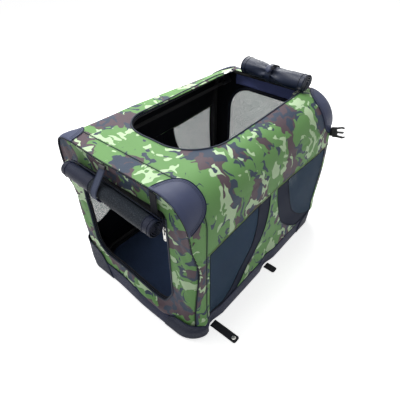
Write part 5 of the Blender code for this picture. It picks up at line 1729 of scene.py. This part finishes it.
def strap(name, line, across, width, material, tip=0.0008, root=0.0008, holes=(), thickness=STRAP_THICKNESS):
    """A flat strap along a line, rounded at its tip."""
    lay, length = along(line, across)
    outline = rounded_box((-width / 2, 0), (width / 2, length), [root, root, tip, tip], 6)
    obj = sew(name, [outline, *holes], lay, material, thickness=thickness, cell=0.0045)
    del obj["flat_size"]
    return obj


def front_swell(x, angle):
    """How a strap draws the front roll in, and how it bags between."""
    pinched = 1 - 0.07 * bell(x, STRAP_PLACE, 0.030)
    ends = 1 - 0.03 * smooth_step(abs(x), 0.11, 0.146)
    lumps = 0.022 * ripple(x, math.cos(angle) * 0.03, math.sin(angle) * 0.03, 30)
    return pinched * ends + lumps


def droop(x):
    """How far the front roll hangs down at a place along it, most at its right end."""
    return FRONT_ROLL_DROOP * smooth_step(x, -0.16, 0.17)


def build_front_roll():
    """The mesh door rolled up under the front edge: mesh with hems of navy cloth at its ends."""
    level, length = on_roll(FRONT_ROLL_CENTRE, 60, front_swell, FRONT_ROLL_RADIUS)

    def lay(u, run, lift):
        return level(u, run, lift) - Vector((0, 0, droop(-u)))

    low, high = FRONT_ROLL_LOW.x - 0.002, FRONT_ROLL_HIGH.x - 0.009
    outline = rounded_box((-high, 0), (-low, length), [0.001] * 4, 1)

    def door_cloth(u, run):
        return HEM_CLOTH if -u < HEMMED_UP_TO or -u > RIGHT_HEM_FROM else ROLLED_MESH

    roll = sew("front_roll", [outline], lay, HEM_CLOTH, HEM_CLOTH, ROLL_CLOTH, 0.0058, door_cloth)
    stands_for(roll, "net", "front_door_roll", held="folded", rests_on=["roll_strap"])
    last_turn = [length - 2 * math.pi * FRONT_ROLL_RADIUS * 0.97, length]
    rings = [laid(lay, [(-x, run) for run in last_turn], 0.0001, 0.003)
             for x in (low + 0.012, HEMMED_UP_TO, RIGHT_HEM_FROM, RIGHT_HEM_FROM + 0.014, high - 0.002)]
    stands_for(cords("front_roll_hems", rings, 0.0011, HEM_CLOTH, 7), "navy")


def tangent_angle(point, centre, radius):
    """Angle on a circle where a line from a point above touches its front, in radians."""
    away = Vector(point) - Vector(centre)
    return math.atan2(away.y, away.x) + math.acos(min(radius / away.length, 1))


def build_roll_straps():
    """The slate strap round the front roll, with its toggle, and the black one tucked in behind."""
    head = (PANEL_RECESS - HALF_LENGTH - 0.0014 - FRONT_EDGE_LEAN, HEIGHT - 0.0075)
    reach = FRONT_ROLL_RADIUS * 0.93 + STRAP_THICKNESS + 0.0012
    middle = (FRONT_ROLL_CENTRE[0], FRONT_ROLL_CENTRE[1] - droop(STRAP_PLACE))
    start = math.degrees(tangent_angle(head, middle, reach))
    round_roll = arc(middle, reach, start, 352, 26)
    line = [(STRAP_PLACE, y, z) for y, z in [head] + round_roll]
    band = strap("roll_strap", line, Vector((-1, 0, 0)), STRAP_WIDTH, SLATE_WEBBING)
    stands_for(band, "webbing", "roll_strap_left")
    lay, length = along(line, Vector((-1, 0, 0)))
    edges = [laid(lay, [(off, 0.001), (off, length - 0.002)], 0.0003, 0.003) for off in (-0.0082, 0.0082)]
    stands_for(cords("roll_strap_edges", edges, 0.0006, SLATE_WEBBING, 6), "webbing")
    behind = FRONT_ROLL_CENTRE[1] - droop(ELASTIC_PLACE) + 0.006
    line = [(ELASTIC_PLACE, head[0], HEIGHT - 0.0065), (ELASTIC_PLACE, head[0] - 0.0004, 0.415),
            (ELASTIC_PLACE, head[0], behind + 0.015), (ELASTIC_PLACE, head[0], behind)]
    elastic = strap("roll_elastic", line, Vector((-1, 0, 0)), STRAP_WIDTH, BLACK_WEBBING)
    stands_for(elastic, "webbing", "roll_strap_right")


def roof_swell(x, angle):
    """How the tie draws the roof roll in, and the pleats that fan out from its knot."""
    off = x - TIE_PLACE
    drawn = smooth_step(abs(off), WAIST_FLAT, WAIST_FLAT + WAIST_REACH)
    waist = WAIST_RATIO + (1 - WAIST_RATIO) * drawn
    from_knot = math.remainder(angle - KNOT_TURN, 2 * math.pi)
    spread = 0.26 + 11 * abs(off)
    strength = math.exp(-abs(off) / 0.045) * (1 - math.exp(-abs(off) / 0.005))
    strength *= math.exp(-(from_knot / 1.5) ** 2)
    ridge = 1 - 2 * abs(math.sin(math.pi * from_knot / (2 * spread) + (0.5 if off > 0 else -0.3)))
    lumps = 0.025 * ripple(x, math.cos(angle) * 0.03, math.sin(angle) * 0.03, 26)
    return waist + PLEAT_DEPTH * strength * ridge + lumps


def over_roof_edge(x, y, z):
    """A point of the round roof roll, moved as the roll lies flattened, with its left end higher."""
    middle = ROOF_ROLL_CENTRE[0]
    raised = ROOF_ROLL_RISES * (1 - smooth_step(x, -0.08, 0.05))
    return Vector((x, middle + (y - middle) * ROOF_ROLL_FLATTENED, z + raised))


def build_roof_roll():
    """The roof's door rolled up on the rear edge, gathered by a tie at its waist."""
    level, length = on_roll(ROOF_ROLL_CENTRE, -120, roof_swell)

    def lay(u, run, lift):
        return over_roof_edge(*level(u, run, lift))

    low, high = ROOF_ROLL_LOW.x + 0.060, ROOF_ROLL_HIGH.x
    outline = rounded_box((-high, 0), (-low, length), [0.001] * 4, 1)
    roll = sew("roof_roll", [outline], lay, ROOF_DOOR_CLOTH, ROOF_DOOR_CLOTH, ROLL_CLOTH, 0.0038)
    stands_for(roll, "navy", "roof_door_roll", held="folded", rests_on=["wrap"])
    last_turn = [length - 2 * math.pi * ROLL_RADIUS * 0.97, length]
    rings = [laid(lay, [(-x, run) for run in last_turn], 0.0001, 0.003)
             for x in (low + 0.002, low + 0.014, high - 0.014, high - 0.002)]
    stands_for(cords("roof_roll_hems", rings, 0.0009, BINDING_TAPE, 7), "black")
    build_roof_tie()


def build_roof_tie():
    """The tie round the roof roll's waist, with its knot and two short tails."""
    reach = ROLL_RADIUS * WAIST_RATIO + 0.0022
    line = [over_roof_edge(TIE_PLACE, y, z) for y, z in arc(ROOF_ROLL_CENTRE, reach, -40, 322, 40)]
    band = strap("roof_tie", line, Vector((-1, 0, 0)), TIE_WIDTH, ROOF_DOOR_CLOTH)
    stands_for(band, "navy", "roof_roll_tie")
    out = Vector((0, math.cos(KNOT_TURN), math.sin(KNOT_TURN)))
    around = Vector((0, -out.z, out.y))
    place = Vector((0, *ROOF_ROLL_CENTRE)) + out * (reach + 0.0022)
    base = over_roof_edge(TIE_PLACE, place.y, place.z)
    form = bmesh.new()
    flat = form.loops.layers.uv.new("cloth")
    bmesh.ops.create_uvsphere(form, u_segments=24, v_segments=14, radius=1)
    for vertex in form.verts:
        x, y, z = vertex.co
        pinch = 1 + 0.14 * math.sin(5 * math.atan2(y, x) + 0.6) * (1 - z * z)
        flattened = Vector((1, 0, 0)) * x * 0.0105 * pinch + around * y * 0.0110 * pinch + out * z * 0.0050
        vertex.co = base + flattened
    for face in form.faces:
        face.smooth = True
        for loop in face.loops:
            loop[flat].uv = (loop.vert.co - base).xz
    # The knot takes the paler copy of the tie's cloth, a painted highlight
    knot = place_piece("roof_tie_knot", form, [TIE_KNOT_PAINTED_HIGHLIGHT])
    stands_for(knot, "navy")
    for name, rise in (("roof_tie_tail_upper", -0.010), ("roof_tie_tail_lower", -0.002)):
        line = [base, base + Vector((0.007, 0, 0)) + out * 0.0045 + around * rise * 0.4,
                base + Vector((0.013, 0, 0)) + out * 0.0060 + around * rise,
                base + Vector((0.018, 0, 0)) + out * 0.0020 + around * rise * 1.2]
        tail = strap(name, smoothed(line), around, TAIL_WIDTH, BLACK_WEBBING, 0.002, thickness=0.0011)
        stands_for(tail, "navy")


def smoothed(line, steps=6):
    """A line with its bends eased."""
    points = [Vector(point) for point in line]
    ends = [points[0] * 2 - points[1]] + points + [points[-1] * 2 - points[-2]]
    eased = []
    for a, b, c, d in zip(ends, ends[1:], ends[2:], ends[3:]):
        for step in range(steps):
            t = step / steps
            eased.append(0.5 * ((2 * b) + (c - a) * t + (2 * a - 5 * b + 4 * c - d) * t * t
                                + (3 * b - a - 3 * c + d) * t ** 3))
    eased.append(points[-1])
    return eased


# Hardware and straps


def body_of(node):
    """The body that a CAD node rides on."""
    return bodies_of(frame["nodes"][node])[0]


def moves_as(obj, node):
    """Let a piece stand for a CAD piece and move with its body."""
    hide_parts(node)
    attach(obj, body_of(node))


def dress(names, material):
    """Give CAD pieces their finish."""
    for name in names:
        obj = frame["nodes"][name]
        obj.data.materials.clear()
        obj.data.materials.append(material)


def goes_down(node, material, rounding):
    """A copy of a CAD piece, softened at its edges, which takes the piece's place on its body."""
    source = frame["nodes"][node]
    mesh = source.data.copy()
    mesh.materials.clear()
    mesh.materials.append(material)
    obj = bpy.data.objects.new(node + "_trim", mesh)
    bpy.context.scene.collection.objects.link(obj)
    bevel = obj.modifiers.new("rounding", "BEVEL")
    bevel.width = rounding
    bevel.segments = 2
    bevel.limit_method = "ANGLE"
    moves_as(obj, node)
    goes_down_with_fold(obj)
    return obj


def build_hardware():
    """Frame, zips, toggle and buckle."""
    tubes = ["base_ring", "front_hoop", "rear_hoop", "top_rail_left", "top_rail_right"]
    moulded = [name for name in frame["nodes"] if name.startswith(("bracket_", "rail_clip_"))]
    dress(tubes, FRAME_PAINT)
    dress(moulded, PLASTIC)
    dress(["floor_board"], BOARD)
    dress(["strap_snap_left", "strap_snap_right"], SILVER)
    for place in ("front", "roof_left", "roof_right"):
        goes_down(place + "_zip_slider", SILVER, 0.0003)
        goes_down(place + "_zip_pull", SILVER, 0.0002)
    toggle = goes_down("roll_toggle", PLASTIC, 0.0004)
    toggle.data.transform(Matrix.Translation((0, -FRONT_EDGE_LEAN, 0)))
    goes_down("rear_buckle", PLASTIC, 0.0006)


def build_base_straps():
    """The closing straps that lie out from under the tray, the front pair with a snap near the tip."""
    for end_name in ("front", "middle"):
        for side_name, side in SIDES.items():
            node = "base_strap_%s_%s" % (end_name, side_name)
            low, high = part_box(node)
            middle = (low.y + high.y) / 2
            root = min(abs(low.x), abs(high.x))
            tip = max(abs(low.x), abs(high.x))
            line = smoothed([Vector((side * (root + (tip - root) * share), middle, z))
                             for share, z in STRAP_LIES])
            across = Vector((0, -side, 0))
            hole = ()
            if end_name == "front":
                _, run = along(line, across)
                hole = (arc((0, run - SNAP_FROM_TIP), SNAP_HOLE_RADIUS, 0, 345, 23),)
            obj = strap(node + "_webbing", line, across, BASE_STRAP_WIDTH, BLACK_WEBBING, BASE_STRAP_TIP,
                        holes=hole)
            moves_as(obj, node)


def build_rear_strap():
    """The short strap in the rear right seam that carries the buckle half."""
    low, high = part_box("rear_strap")
    drop = math.tan(REAR_STRAP_TILT) * (high.x - low.x) / 2
    start = Vector((low.x, (low.y + high.y) / 2, (low.z + high.z) / 2 - drop))
    ahead = Vector((math.cos(REAR_STRAP_TILT), 0, math.sin(REAR_STRAP_TILT)))
    across = Vector((-math.sin(REAR_STRAP_TILT), 0, math.cos(REAR_STRAP_TILT)))
    line = [start + Vector((0, -STRAP_THICKNESS / 2, 0)) + ahead * distance
            for distance in (0, 0.005, 0.010, 0.014)]
    line = [point + Vector((0, STRAP_THICKNESS, 0)) for point in line]
    obj = strap("rear_strap_webbing", line, across, REAR_STRAP_WIDTH, BLACK_WEBBING)
    moves_as(obj, "rear_strap")
    goes_down_with_fold(obj)


# Studio


def add_camera():
    """A camera in the photograph's place."""
    azimuth, elevation, roll = (math.radians(angle) for angle in VIEW_ANGLES)
    backward = Vector((math.sin(azimuth) * math.cos(elevation), -math.cos(azimuth) * math.cos(elevation),
                       math.sin(elevation)))
    level = Vector((math.cos(azimuth), math.sin(azimuth), 0))
    upward = backward.cross(level)
    right = level * math.cos(roll) + upward * math.sin(roll)
    up = upward * math.cos(roll) - level * math.sin(roll)
    matrix = Matrix((right, up, backward)).transposed().to_4x4()
    matrix.translation = VIEW_PLACE
    lens = bpy.data.cameras.new("camera")
    lens.lens = VIEW_LENS
    lens.sensor_width = 36
    camera = bpy.data.objects.new("camera", lens)
    camera.matrix_world = matrix
    bpy.context.scene.collection.objects.link(camera)
    bpy.context.scene.camera = camera


def add_softbox(name, place, aim, size, power):
    """A square soft light that faces a point."""
    lamp = bpy.data.lights.new(name, "AREA")
    lamp.shape = "SQUARE"
    lamp.size = size
    lamp.energy = power
    obj = bpy.data.objects.new(name, lamp)
    obj.location = place
    obj.rotation_euler = (Vector(aim) - Vector(place)).to_track_quat("-Z", "Y").to_euler()
    bpy.context.scene.collection.objects.link(obj)


def add_sky():
    """Even light from all round, and plain white where the camera or a gloss looks past the crate."""
    world = bpy.data.worlds.new("studio")
    bpy.context.scene.world = world
    world.use_nodes = True
    wiring = Wiring(world.node_tree)
    background = world.node_tree.nodes["Background"]
    path = wiring.node("LightPath").outputs
    bounced = wiring.sum("MAXIMUM", path["Is Glossy Ray"], path["Is Transmission Ray"])
    seen = wiring.sum("MAXIMUM", path["Is Camera Ray"], bounced)
    background.inputs["Color"].default_value = (1, 1, 1, 1)
    wiring.feed(background.inputs["Strength"], wiring.sum("MULTIPLY_ADD", seen, 1 - SKY_LIGHT, SKY_LIGHT))


def add_floor():
    """A white floor that runs far past the picture."""
    form = bmesh.new()
    bmesh.ops.create_grid(form, x_segments=1, y_segments=1, size=30)
    floor = place_piece("studio_floor", form, [floor_finish()])
    floor.location.z = -0.0002


def light_scene():
    """Soft light from above on the left, and from behind for the sheen of the cloth."""
    add_softbox("overhead", (-0.50, -0.15, 1.8), (0, 0, 0.2), 1.1, 22)
    add_softbox("back_light", (-0.95, 1.20, 1.25), (0, 0, 0.3), 1.0, 14)
    add_sky()
    add_floor()
    bpy.context.scene.view_settings.view_transform = "Standard"


add_camera()
light_scene()
build_tray()
build_tray_trim()
build_mat()
build_wrap()
build_collar()
for side_name, side in SIDES.items():
    build_side(side_name, side)
    for end_name, end in ENDS.items():
        build_patch(side_name, side, end_name, end)
build_front_panel()
build_rear_panel()
build_pipings()
build_zip_tapes()
build_front_roll()
build_roll_straps()
build_roof_roll()
build_hardware()
build_base_straps()
build_rear_strap()
